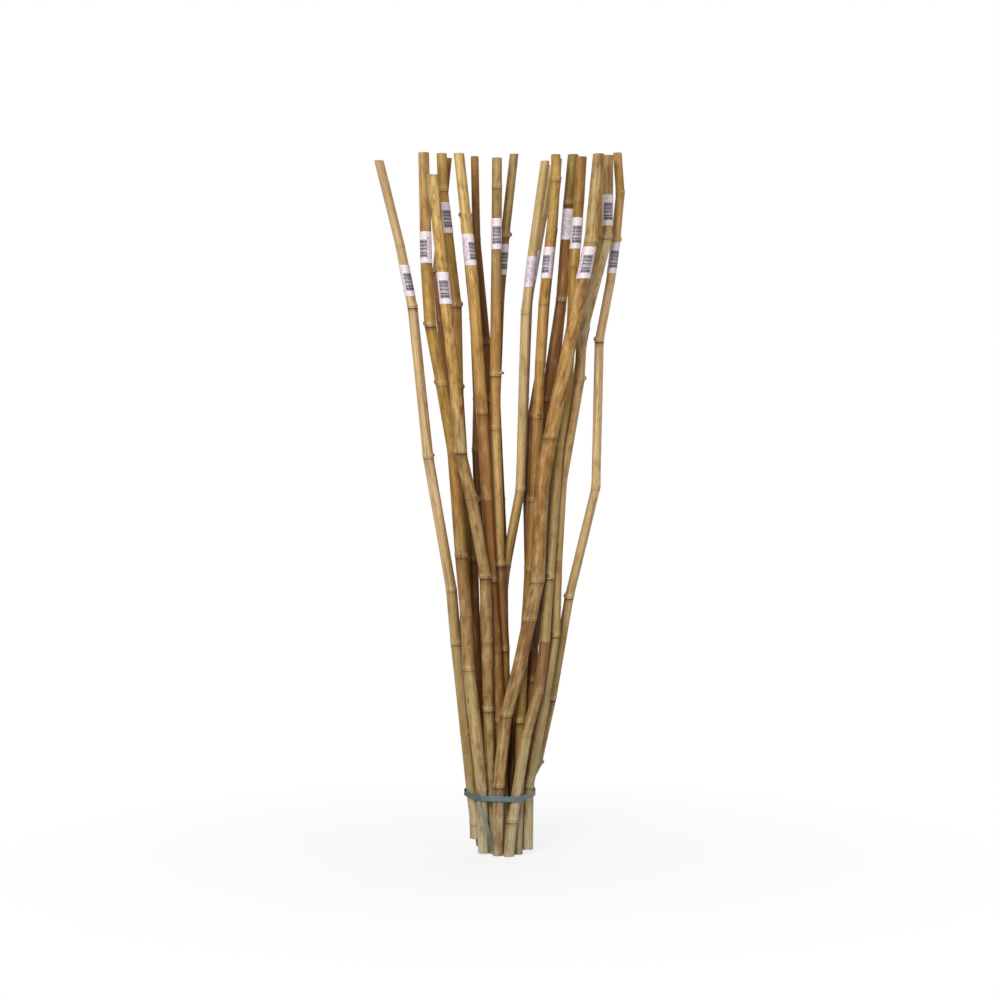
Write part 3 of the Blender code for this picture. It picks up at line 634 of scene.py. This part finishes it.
def label_mesh(name, culm):
    """A label round its culm: a sheet with round corners, bent to the culm's wall, with paper's thickness.

    Across runs round the wall at a constant distance from it, and along runs up the culm. Near the
    rounded corners the sheet's length shrinks by a circle's sagitta. Its two free edges lift off the
    wall by a smooth step. The back sheet lies a paper's thickness inside the front one.
    """
    low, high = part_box(name)
    corners = packed_corners(name)
    middle = 0.5 * (low.z + high.z)
    away = corners[:, :2] - culm.middle(corners[:, 2])
    facing = math.atan2(*away.mean(axis=0)[::-1])
    turns = turn_from(facing, np.arctan2(away[:, 1], away[:, 0]))
    base = float(culm.radius(middle)) + LABEL_GLUE
    half = np.abs(turns).max() * base
    across = np.linspace(-half, half, LABEL_SIDES + 1)
    into = np.maximum(np.abs(across) - (half - LABEL_CORNER), 0.0)
    reach = 0.5 * (high.z - low.z) - LABEL_CORNER + np.sqrt(LABEL_CORNER ** 2 - into ** 2)
    share = np.linspace(-1.0, 1.0, LABEL_ROWS + 1)[:, None]
    along = middle + share * reach[None, :]
    free = ease((np.abs(across) / half - LIFT_FROM) / (1.0 - LIFT_FROM))[None, :]
    lift = LABEL_LIFT * free * (LIFT_MIDDLE + (1.0 - LIFT_MIDDLE) * share ** 2)
    pucker = PUCKER * np.sin(along / PUCKER_LENGTH + PUCKER_SLANT * across / half)
    layers = []
    for depth in (0.0, LABEL_PAPER):
        size = culm.radius(along) + LABEL_GLUE + depth + lift + pucker
        angles = facing + across[None, :] / base
        flat = culm.middle(along) + np.stack([size * np.cos(angles), size * np.sin(angles)], axis=-1)
        layers.append(np.concatenate([flat, along[..., None]], axis=-1).reshape(-1, 3))
    rows, columns = LABEL_ROWS + 1, LABEL_SIDES + 1
    count = rows * columns
    face = grid_faces(rows, columns, False)
    right = columns * np.arange(rows - 1) + columns - 1
    left = columns * (rows - 1 - np.arange(rows - 1))
    border = np.concatenate([np.arange(columns - 1), right, count - 1 - np.arange(columns - 1), left])
    following = np.roll(border, -1)
    edge = np.stack([border, following, following + count, border + count], axis=1)
    mesh = fill_mesh(name, np.concatenate(layers), np.concatenate([face[:, ::-1], face + count, edge]))
    sheet = np.stack(np.broadcast_arrays(across[None, :], along - middle, 0.0), axis=-1).reshape(-1, 3)
    paint_points(mesh, "sheet", np.concatenate([sheet, sheet]))
    mesh.set_sharp_from_angle(angle=math.radians(40))
    return mesh


def printed_paper(name, code_place):
    """Coated label paper: a faint lilac white with a low sheen, printed in grey-violet ink."""
    material, tree, surface = new_material(name)
    sheet = add_node(tree, "ShaderNodeAttribute", attribute_name="sheet").outputs["Vector"]
    parts = add_node(tree, "ShaderNodeSeparateXYZ", {0: sheet}).outputs
    values = {"across": parts["X"], "along": parts["Y"]}
    # Which stripe, row and dash a point lies in, counted from the middle of the label
    numbers = {}
    for part, way, density in (("stripe", "along", STRIPES_PER_METRE), ("row", "across", ROWS_PER_METRE),
                               ("dash", "along", DASHES_PER_METRE)):
        values[part] = add_node(tree, "ShaderNodeMath", {0: values[way], 1: density}, operation="MULTIPLY")
        numbers[part] = add_node(tree, "ShaderNodeMath", {0: values[part]}, operation="FLOOR")
    # Each stripe and each dash is inked or left white by a random value of its own
    values["stripe"] = add_node(tree, "ShaderNodeTexWhiteNoise", {"W": numbers["stripe"]},
                                noise_dimensions="1D")
    dash_place = add_node(tree, "ShaderNodeCombineXYZ", {0: numbers["row"], 1: numbers["dash"]})
    values["dash"] = add_node(tree, "ShaderNodeTexWhiteNoise", {0: dash_place}, noise_dimensions="2D")
    scuff = add_node(tree, "ShaderNodeTexNoise", {0: sheet, "Scale": 240.0, "Detail": 4.0})
    values["wear"] = add_node(tree, "ShaderNodeMapRange", {0: scuff, 1: 0.35, 2: 0.7, 3: 0.98, 4: 0.82})
    # Each line makes a value from one or two others: the stripe code, the small print, then the ink
    steps = (
        ("aside", "SUBTRACT", "across", code_place * MM),
        ("aside", "ABSOLUTE", "aside", 0.0),
        ("in_width", "LESS_THAN", "aside", CODE_HALF_WIDTH),
        ("above", "ADD", "along", CODE_BELOW),
        ("above", "ABSOLUTE", "above", 0.0),
        ("in_length", "LESS_THAN", "above", CODE_HALF_LENGTH),
        ("in_code", "MULTIPLY", "in_width", "in_length"),
        ("inked", "GREATER_THAN", "stripe", STRIPE_GAPS),
        ("code", "MULTIPLY", "inked", "in_code"),
        ("row", "FRACT", "row", 0.0),
        ("row", "LESS_THAN", "row", ROW_INKED),
        ("dash", "GREATER_THAN", "dash", DASH_GAPS),
        ("dash", "MULTIPLY", "dash", "row"),
        ("beside", "GREATER_THAN", "aside", PRINT_ASIDE),
        ("reach", "ABSOLUTE", "along", 0.0),
        ("reach", "LESS_THAN", "reach", PRINT_HALF_LENGTH),
        ("in_print", "MULTIPLY", "beside", "reach"),
        ("small", "MULTIPLY", "dash", "in_print"),
        ("small", "MULTIPLY", "small", PRINT_STRENGTH),
        ("ink", "MAXIMUM", "code", "small"),
        ("ink", "MULTIPLY", "ink", "wear"),
    )
    for result, operation, first, second in steps:
        values[result] = add_node(tree, "ShaderNodeMath", {0: values[first], 1: values.get(second, second)},
                                  operation=operation)
    paper = add_node(tree, "ShaderNodeValToRGB", {0: scuff},
                     [(0.35, linear("CFC0C8")), (0.62, linear("E6DADF"))])
    colour = add_node(tree, "ShaderNodeMix", {0: values["ink"], 6: paper, 7: linear("322A35")},
                      data_type="RGBA")
    gloss = add_node(tree, "ShaderNodeMapRange", {0: scuff, 1: 0.3, 2: 0.7, 3: 0.38, 4: 0.55})
    set_sockets(tree, surface, {"Base Color": colour, "Roughness": gloss, "IOR": 1.5})
    return material


for name in sorted(frame["nodes"]):
    if name.startswith("label"):
        number = name[-2:]
        paper = printed_paper("coated_label_paper_" + number, CODE_PLACE.get(name, 0.0))
        add_piece("price_" + name, label_mesh(name, culms["cane_" + number]), name, paper)

# The tie. A length of flat blue-green polythene tape, wound twice round the feet and pulled tight, so it
# bridges from one outer culm to the next. It is soft, thin and slightly shiny, and its edges roll.
TAPE_THICKNESS = 0.5 * MM
TAPE_TURN_GAP = 0.15 * MM     # air between the two turns
TAPE_ROLL = 0.25 * MM         # how far the outer turn's edges roll outwards
TAPE_FLAT = 0.9               # share of its width over which the tape keeps its full thickness
TURN_STEP = (0.8 * MM, 1.2 * MM)  # how far the inner turn shows below, and stays back above
TAPE_ROWS = 12
TAPE_ALONG = 720
# The slow waves of its edges: how high each is in mm, how many go round, and where it begins
TAPE_WAVES = ((0.35, 3, 0.6), (0.2, 7, 0.0))
CREASE_REACH = 14 * MM        # how far from the knot the tape is creased by its pull
CREASE_PITCH = 2.6 * MM
CREASE_DEEP = 0.3 * MM
CREASE_SLANT = 0.6            # how far a crease runs ahead for each millimetre that it climbs
# Dark green on the left, then blue, and faded to grey on the right, which has faced the sun
TAPE_SHADES = ((0.0, "3E524A"), (0.18, "445B52"), (0.36, "536B72"), (0.55, "4F676E"), (0.75, "506466"),
               (0.9, "656C69"), (1.0, "7A7A6E"))
band_low, band_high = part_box("tie_band")
knot_low, knot_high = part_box("tie_knot")
knot_place = 0.5 * np.array(knot_low + knot_high)
band = packed_corners("tie_band")
# The plane of the band's middle, as height = a + b x + c y fitted to its corners, and half its width
band_plane = np.linalg.lstsq(np.column_stack([np.ones(len(band)), band[:, :2]]), band[:, 2], rcond=None)[0]
band_half = np.abs(band[:, 2] - band_plane[0] - band[:, :2] @ band_plane[1:]).max()


def band_line(inset, count):
    """Points round the band at a distance inside its packed outer line, evenly spaced by direction.

    For each direction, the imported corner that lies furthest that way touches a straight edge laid
    across it. The line is that corner moved inwards, so it bends round the outer culms and runs
    straight from one to the next.
    """
    flat = band[:, :2]
    angles = math.tau * np.arange(count) / count
    outward = np.stack([np.cos(angles), np.sin(angles)], axis=1)
    reach = (flat @ outward.T).max(axis=0) - inset
    slope = (np.roll(reach, -1) - np.roll(reach, 1)) * count / (2 * math.tau)
    sideways = np.stack([-np.sin(angles), np.cos(angles)], axis=1)
    line = reach[:, None] * outward + slope[:, None] * sideways
    steps = np.linalg.norm(np.roll(line, -1, axis=0) - line, axis=1)
    place = np.concatenate([[0.0], np.cumsum(steps)])
    wanted = place[-1] * np.arange(count) / count
    closed = np.vstack([line, line[:1]])
    return np.stack([np.interp(wanted, place, closed[:, axis]) for axis in range(2)], axis=1)


def headings(path, closed):
    """The way that a path runs at each of its points, from the point before to the point after."""
    if closed:
        steps = np.roll(path, -1, axis=0) - np.roll(path, 1, axis=0)
    else:
        steps = np.gradient(path, axis=0)
    return steps / np.linalg.norm(steps, axis=1)[:, None]


def tape_mesh(name, line, low, high, roll):
    """A closed turn of tape: a flat section with rolled edges, carried along a line round the bundle.

    The section is a rounded rectangle from low to high about the band's plane, and it leans outwards
    by roll at both edges. It rises and falls by slow waves along the line, as tape does that was
    pulled tight by hand. Near the knot it stands out in slanting creases, as a raised sine of the
    distance along it that fades as a bell.
    """
    count = len(line)
    ahead = headings(line, True)
    outward = np.stack([ahead[:, 1], -ahead[:, 0]], axis=1)
    share = np.linspace(-1.0, 1.0, TAPE_ROWS)
    lean = roll * share ** 4
    edge = ((np.abs(share) - TAPE_FLAT) / (1.0 - TAPE_FLAT)).clip(0.0, 1.0)
    round_off = 0.5 * TAPE_THICKNESS * (1.0 - np.sqrt(1.0 - edge ** 2))
    front = np.stack([lean - round_off, share], axis=1)
    back = np.stack([lean - TAPE_THICKNESS + round_off, share], axis=1)[::-1]
    section = np.concatenate([front, back])
    turn = math.tau * np.arange(count) / count
    wave = sum(size * MM * np.sin(times * turn + start) for size, times, start in TAPE_WAVES)
    level = band_plane[0] + line @ band_plane[1:]
    height = (level + wave)[:, None] + 0.5 * (low + high) + 0.5 * (high - low) * section[None, :, 1]
    from_knot = line - knot_place[:2]
    distance = np.linalg.norm(from_knot, axis=1)
    aside = from_knot @ ahead[distance.argmin()]
    slant = (aside[:, None] + CREASE_SLANT * (height - level[:, None])) / CREASE_PITCH
    crease = CREASE_DEEP * hump(distance, CREASE_REACH)[:, None] * (1.0 + np.sin(math.tau * slant))
    flat = line[:, None, :] + (section[None, :, 0] + crease)[..., None] * outward[:, None, :]
    points = np.concatenate([flat, height[..., None]], axis=-1).reshape(-1, 3)
    faces = grid_faces(count + 1, len(section), True) % len(points)
    mesh = fill_mesh(name, points, faces[:, [0, 3, 2, 1]])
    paint_points(mesh, "across", (height - level[:, None]).ravel())
    mesh.set_sharp_from_angle(angle=math.radians(60))
    return mesh


def polythene_tape(name, axis, reach, shades):
    """Blown polythene tape: drawn lengthwise, so it is finely streaked, soft and a little glossy.

    Its shades lie along one axis of the piece, as shares of the way between the two ends of reach.
    """
    material, tree, surface = new_material(name)
    object_place = add_node(tree, "ShaderNodeTexCoord").outputs["Object"]
    # Creases of two to three millimetres, and cloudy scuffs of one to two centimetres
    crease = add_node(tree, "ShaderNodeTexNoise", {0: object_place, "Scale": 420.0, "Detail": 3.0})
    cloud = add_node(tree, "ShaderNodeTexNoise", {0: object_place, "Scale": 70.0, "Detail": 4.0})
    # Streaks of half a millimetre that run along the tape for some three centimetres
    across = add_node(tree, "ShaderNodeAttribute", attribute_name="across").outputs["Fac"]
    parts = add_node(tree, "ShaderNodeSeparateXYZ", {0: object_place}).outputs
    ahead = add_node(tree, "ShaderNodeMath", {0: parts["X"], 1: parts["Z"]}, operation="ADD")
    streak_place = add_node(tree, "ShaderNodeCombineXYZ", {0: across, 1: ahead, 2: parts["Y"]})
    streak_scale = add_node(tree, "ShaderNodeMapping", {0: streak_place, "Scale": (1900.0, 35.0, 35.0)})
    streak = add_node(tree, "ShaderNodeTexNoise", {0: streak_scale, "Scale": 1.0, "Detail": 3.0})
    # Sun has changed it along its length, one shade into the next unevenly; the tail's dark lower end is
    # painted shade
    share = add_node(tree, "ShaderNodeMapRange", {0: parts[axis], 1: reach[0], 2: reach[1]})
    drift = add_node(tree, "ShaderNodeMapRange", {0: cloud, 1: 0.3, 2: 0.7, 3: -0.07, 4: 0.07})
    place = add_node(tree, "ShaderNodeMath", {0: share, 1: drift}, operation="ADD")
    shade = add_node(tree, "ShaderNodeValToRGB", {0: place}, [(at, linear(tone)) for at, tone in shades])
    streak_shade = add_node(tree, "ShaderNodeMapRange", {0: streak, 1: 0.3, 2: 0.7, 3: 0.8, 4: 1.18})
    streaked = add_node(tree, "ShaderNodeVectorMath", {0: shade, "Scale": streak_shade}, operation="SCALE")
    gloss = add_node(tree, "ShaderNodeMapRange", {0: cloud, 1: 0.3, 2: 0.7, 3: 0.36, 4: 0.6})
    relief = add_node(tree, "ShaderNodeMath", {0: crease, 1: streak}, operation="ADD")
    bump = add_node(tree, "ShaderNodeBump", {"Height": relief, "Strength": 0.5, "Distance": 0.35 * MM})
    set_sockets(tree, surface, {"Base Color": streaked, "Roughness": gloss, "IOR": 1.51, "Normal": bump})
    return material


tape = polythene_tape("blue_green_polythene_tape", 0, (band_low.x, band_high.x), TAPE_SHADES)
outer_turn = tape_mesh("tie_outer_turn", band_line(0.0, TAPE_ALONG), TURN_STEP[0] - band_half, band_half,
                       TAPE_ROLL)
inner_turn = tape_mesh("tie_inner_turn", band_line(TAPE_THICKNESS + TAPE_TURN_GAP, TAPE_ALONG), -band_half,
                       band_half - TURN_STEP[1], 0.0)
add_piece("tie_outer_turn", outer_turn, "tie_band", tape)
add_piece("tie_inner_turn", inner_turn, "tie_band", tape)

# The knot. The tape's two ends are tied in one overhand knot and pulled down hard on the band, which
# crushes the tape into a narrow cord inside the knot.
KNOT_STEPS = 220
KNOT_SECTION = 10
KNOT_TAPE = (3.4 * MM, 1.5 * MM)  # width and thickness of the crushed tape
KNOT_WEAVE = 0.28             # how far the crushed tape dips and rises, as a share of the knot's depth
SECTION_POWER = 0.6           # below 1, a section has fuller edges than an ellipse
SLANT = 1.8 * MM              # how far a slanting cut runs ahead on one edge of the tape
SLANT_STEPS = 6
KNOT_HIGH = knot_high.z - knot_low.z


def knot_frame():
    """The directions along the band and out of it where the knot sits, and the middle of its flat back.

    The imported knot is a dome: its widest ring lies on the band, so its corners spread most along the
    band, and the dome's top lies outwards of their middle. Its width comes with them, and its depth,
    which is read from the corners within a fifth of its height of its middle.
    """
    packed = packed_corners("tie_knot")
    middle = packed[:, :2].mean(axis=0)
    flat = packed[:, :2] - middle
    across_middle = packed[np.abs(packed[:, 2] - knot_place[2]) < 0.2 * KNOT_HIGH]
    along = np.linalg.eigh(flat.T @ flat)[1][:, 1]
    out = np.array([along[1], -along[0]])
    out *= np.sign(out @ (middle - band_line(0.0, TAPE_ALONG).mean(axis=0)))
    depths = across_middle[:, :2] @ out
    back = middle + (depths.min() - middle @ out) * out
    return along, out, back, np.ptp(packed[:, :2] @ along), np.ptp(depths)


knot_along, knot_out, knot_back, KNOT_WIDE, KNOT_DEEP = knot_frame()


def swept_tape(name, path, across, width, thickness, sides, closed, curl=0.0):
    """A flat section with round edges, carried along a path: width lies along across at each point.

    The section is an ellipse raised to a flatter power, so the tape has full edges and a flat face, and
    both edges curl forwards by curl, as the square of the place across. An open tape is closed at both
    ends by a small fan, and its last few millimetres are cut on the slant.
    """
    ahead = headings(path, closed)
    across = across - (across * ahead).sum(axis=1)[:, None] * ahead
    across /= np.linalg.norm(across, axis=1)[:, None]
    out = np.cross(ahead, across)
    turn = math.tau * np.arange(sides) / sides
    wide = np.sign(np.cos(turn)) * np.abs(np.cos(turn)) ** SECTION_POWER
    deep = np.sign(np.sin(turn)) * np.abs(np.sin(turn)) ** SECTION_POWER
    forwards = np.sign(out @ np.array([0.0, -1.0, 0.0]))[:, None]
    depth = 0.5 * thickness * deep[None, :] + forwards * curl * wide[None, :] ** 2
    places = 0.5 * width * wide
    points = (path[:, None, :] + places[None, :, None] * across[:, None, :]
              + depth[..., None] * out[:, None, :])
    rows = len(path)
    if closed:
        mesh = fill_mesh(name, points.reshape(-1, 3), grid_faces(rows + 1, sides, True) % (rows * sides))
        paint_points(mesh, "across", np.tile(places, rows))
        return mesh
    slant = ease((np.arange(rows) - rows + 1 + SLANT_STEPS) / SLANT_STEPS)[:, None] * wide[None, :]
    points += SLANT * slant[..., None] * ahead[:, None, :]
    skin = np.concatenate([points.reshape(-1, 3), path[:1], path[-1:]])
    mesh = fill_mesh(name, skin, grid_faces(rows, sides, True), end_fans(rows, sides))
    paint_points(mesh, "across", np.append(np.tile(places, rows), [0.0, 0.0]))
    return mesh


def knot_path(count):
    """An overhand knot's closed line, a flattened trefoil.

    Along the band it is sin t + 2 sin 2t, upwards cos t - 2 cos 2t, and outwards it dips and rises by
    sin 3t, so that each lobe passes over the one before it and under the one after.
    """
    turn = math.tau * np.arange(count) / count
    half_wide = 0.5 * (KNOT_WIDE - KNOT_TAPE[0])
    half_high = 0.5 * (KNOT_HIGH - KNOT_TAPE[0])
    along = half_wide * (np.sin(turn) + 2 * np.sin(2 * turn)) / 3
    up = half_high * (np.cos(turn) - 2 * np.cos(2 * turn)) / 3
    out = KNOT_DEEP * (0.5 - KNOT_WEAVE * np.sin(3 * turn))
    flat = knot_back + along[:, None] * knot_along + out[:, None] * knot_out
    return np.column_stack([flat, knot_place[2] + up])


knot_line = knot_path(KNOT_STEPS)
knot_across = np.cross(headings(knot_line, True), np.append(knot_out, 0.0))
knot_mesh = swept_tape("tie_knot_loops", knot_line, knot_across, *KNOT_TAPE, KNOT_SECTION, True)
add_piece("tie_knot_loops", knot_mesh, "tie_knot", tape)

# The tail. The tape's loose end hangs limp from the knot over the feet, folded a little along its length.
# Its upper part has faded to a grey green in the sun, and its lower end is painted dark: painted shade of
# the gap between the feet behind it.
TAIL_STEPS = 90
TAIL_SECTION = 16
TAIL_WIDTH = 6.5 * MM
TAIL_THICKNESS = 0.7 * MM
TAIL_CURL = 0.7 * MM
TAIL_IN_KNOT = 2.2 * MM       # how far its top reaches up into the knot
TAIL_INSET = (1.2 * MM, 0.4 * MM)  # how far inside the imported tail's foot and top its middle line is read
# From the foot up: the dark lowest stops are painted shade, and the pale top is the faded tape
TAIL_SHADES_AND_PAINTED_SHADE = ((0.0, "454940"), (0.2, "4A5047"), (0.36, "5A5E54"), (0.5, "6F7166"), (0.7, "747664"),
               (1.0, "828575"))
tail_low, tail_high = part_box("tie_tail")


def tail_line(count):
    """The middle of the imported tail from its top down: the middle of its cut at each level."""
    mesh = frame["nodes"]["tie_tail"].data
    edges = np.empty(2 * len(mesh.edges), dtype=int)
    mesh.edges.foreach_get("vertices", edges)
    starts, stops = packed_corners("tie_tail")[edges.reshape(-1, 2)].transpose(1, 0, 2)
    line = []
    for level in np.linspace(tail_high.z - TAIL_INSET[1], tail_low.z + TAIL_INSET[0], count):
        cut = (starts[:, 2] - level) * (stops[:, 2] - level) < 0
        share = (level - starts[cut, 2]) / (stops[cut, 2] - starts[cut, 2])
        met = starts[cut] + share[:, None] * (stops[cut] - starts[cut])
        line.append(0.5 * (met.min(axis=0) + met.max(axis=0)))
    line.insert(0, line[0] + TAIL_IN_KNOT * (line[0] - line[1]) / np.linalg.norm(line[0] - line[1]))
    return np.array(line)


tail_path = tail_line(TAIL_STEPS)
tail_across = np.cross([0.0, -1.0, 0.0], headings(tail_path, False))
tail_mesh = swept_tape("tie_tail_tape", tail_path, tail_across, TAIL_WIDTH, TAIL_THICKNESS, TAIL_SECTION,
                       False, TAIL_CURL)
tail_tape = polythene_tape("faded_polythene_tape_with_painted_shade", 2, (tail_low.z, tail_high.z), TAIL_SHADES_AND_PAINTED_SHADE)
tail = add_piece("tie_tail_tape", tail_mesh, "tie_tail", tail_tape)
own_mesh(tail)

# The floor and the white ground behind it. The floor is white to the camera and keeps a faint shadow
# round the feet, which fades out within a metre.
FLOOR_HALF = 14.0
SHADOW_REACH = (0.12, 0.9)    # how far from the middle the shadow is fullest, and where it has gone
SHADOW_WHITE = 0.8            # how white the floor is where the shadow is fullest
floor_points = FLOOR_HALF * np.array([[-1, -1, 0], [1, -1, 0], [1, 1, 0], [-1, 1, 0]])
floor = new_object("floor", fill_mesh("floor", floor_points, np.array([[0, 1, 2, 3]])))


def seen_as_white(tree):
    """1 for the rays that see the white ground, straight, mirrored or through a piece, and 0 for others."""
    rays = add_node(tree, "ShaderNodeLightPath").outputs
    seen = rays["Is Camera Ray"]
    for ray in ("Is Glossy Ray", "Is Transmission Ray"):
        seen = add_node(tree, "ShaderNodeMath", {0: seen, 1: rays[ray]}, operation="MAXIMUM")
    return seen


floor_material, tree, surface = new_material("white_studio_floor")
set_sockets(tree, surface, {"Base Color": linear("E6E6E6"), "Roughness": 0.9})
floor_place = add_node(tree, "ShaderNodeTexCoord").outputs["Object"]
away = add_node(tree, "ShaderNodeVectorMath", {0: floor_place}, operation="LENGTH").outputs["Value"]
white = add_node(tree, "ShaderNodeMapRange",
                 {0: away, 1: SHADOW_REACH[0], 2: SHADOW_REACH[1], 3: SHADOW_WHITE, 4: 1.0})
share = add_node(tree, "ShaderNodeMath", {0: seen_as_white(tree), 1: white}, operation="MULTIPLY")
glow = add_node(tree, "ShaderNodeEmission", {"Color": linear("FFFFFF"), "Strength": 1.0})
mixed = add_node(tree, "ShaderNodeMixShader", {0: share, 1: surface, 2: glow})
set_sockets(tree, tree.nodes["Material Output"], {"Surface": mixed})
floor.data.materials.append(floor_material)

# The lights. One large soft box from the upper left in front, a weaker one from the right and one
# from above and behind, in a pale room.
LAMPS = {
    "key": ((-1.0, -3.0, 2.0), 1.4, 92.0),
    "fill": ((2.4, -2.2, 1.2), 2.2, 12.0),
    "top": ((0.4, 1.4, 2.9), 1.8, 24.0),
}
LAMP_AIM = np.array([0.0, 0.0, 0.6])
ROOM_LIGHT = 0.3              # how strongly the room lights the canes
for name, (place, size, power) in LAMPS.items():
    lamp = bpy.data.lights.new(name, "AREA")
    lamp.size = size
    lamp.energy = power
    holder = new_object(name, lamp)
    holder.location = place
    across, deep, high = LAMP_AIM - np.array(place)
    holder.rotation_euler = (math.atan2(math.hypot(across, deep), -high), 0.0, math.atan2(-across, deep))

world = bpy.data.worlds.new("pale_room")
bpy.context.scene.world = world
world.use_nodes = True
tree = world.node_tree
strength = add_node(tree, "ShaderNodeMapRange", {0: seen_as_white(tree), 3: ROOM_LIGHT, 4: 1.0})
set_sockets(tree, tree.nodes["Background"], {"Color": (1.0, 1.0, 1.0, 1.0), "Strength": strength})

# The camera. It stands level at half the bundle's height, as the photograph's does.
CAMERA_DISTANCE = 3.47
CAMERA_HEIGHT = 0.6166
CAMERA_ASIDE = -0.0012
CAMERA_LENS = 71.4
camera = bpy.data.cameras.new("camera")
camera.lens = CAMERA_LENS
camera.sensor_width = 36.0
camera_holder = new_object("camera", camera)
camera_holder.location = (CAMERA_ASIDE, -CAMERA_DISTANCE, CAMERA_HEIGHT)
camera_holder.rotation_euler = (math.radians(90), 0.0, 0.0)
bpy.context.scene.camera = camera_holder
bpy.context.scene.view_settings.view_transform = "Standard"
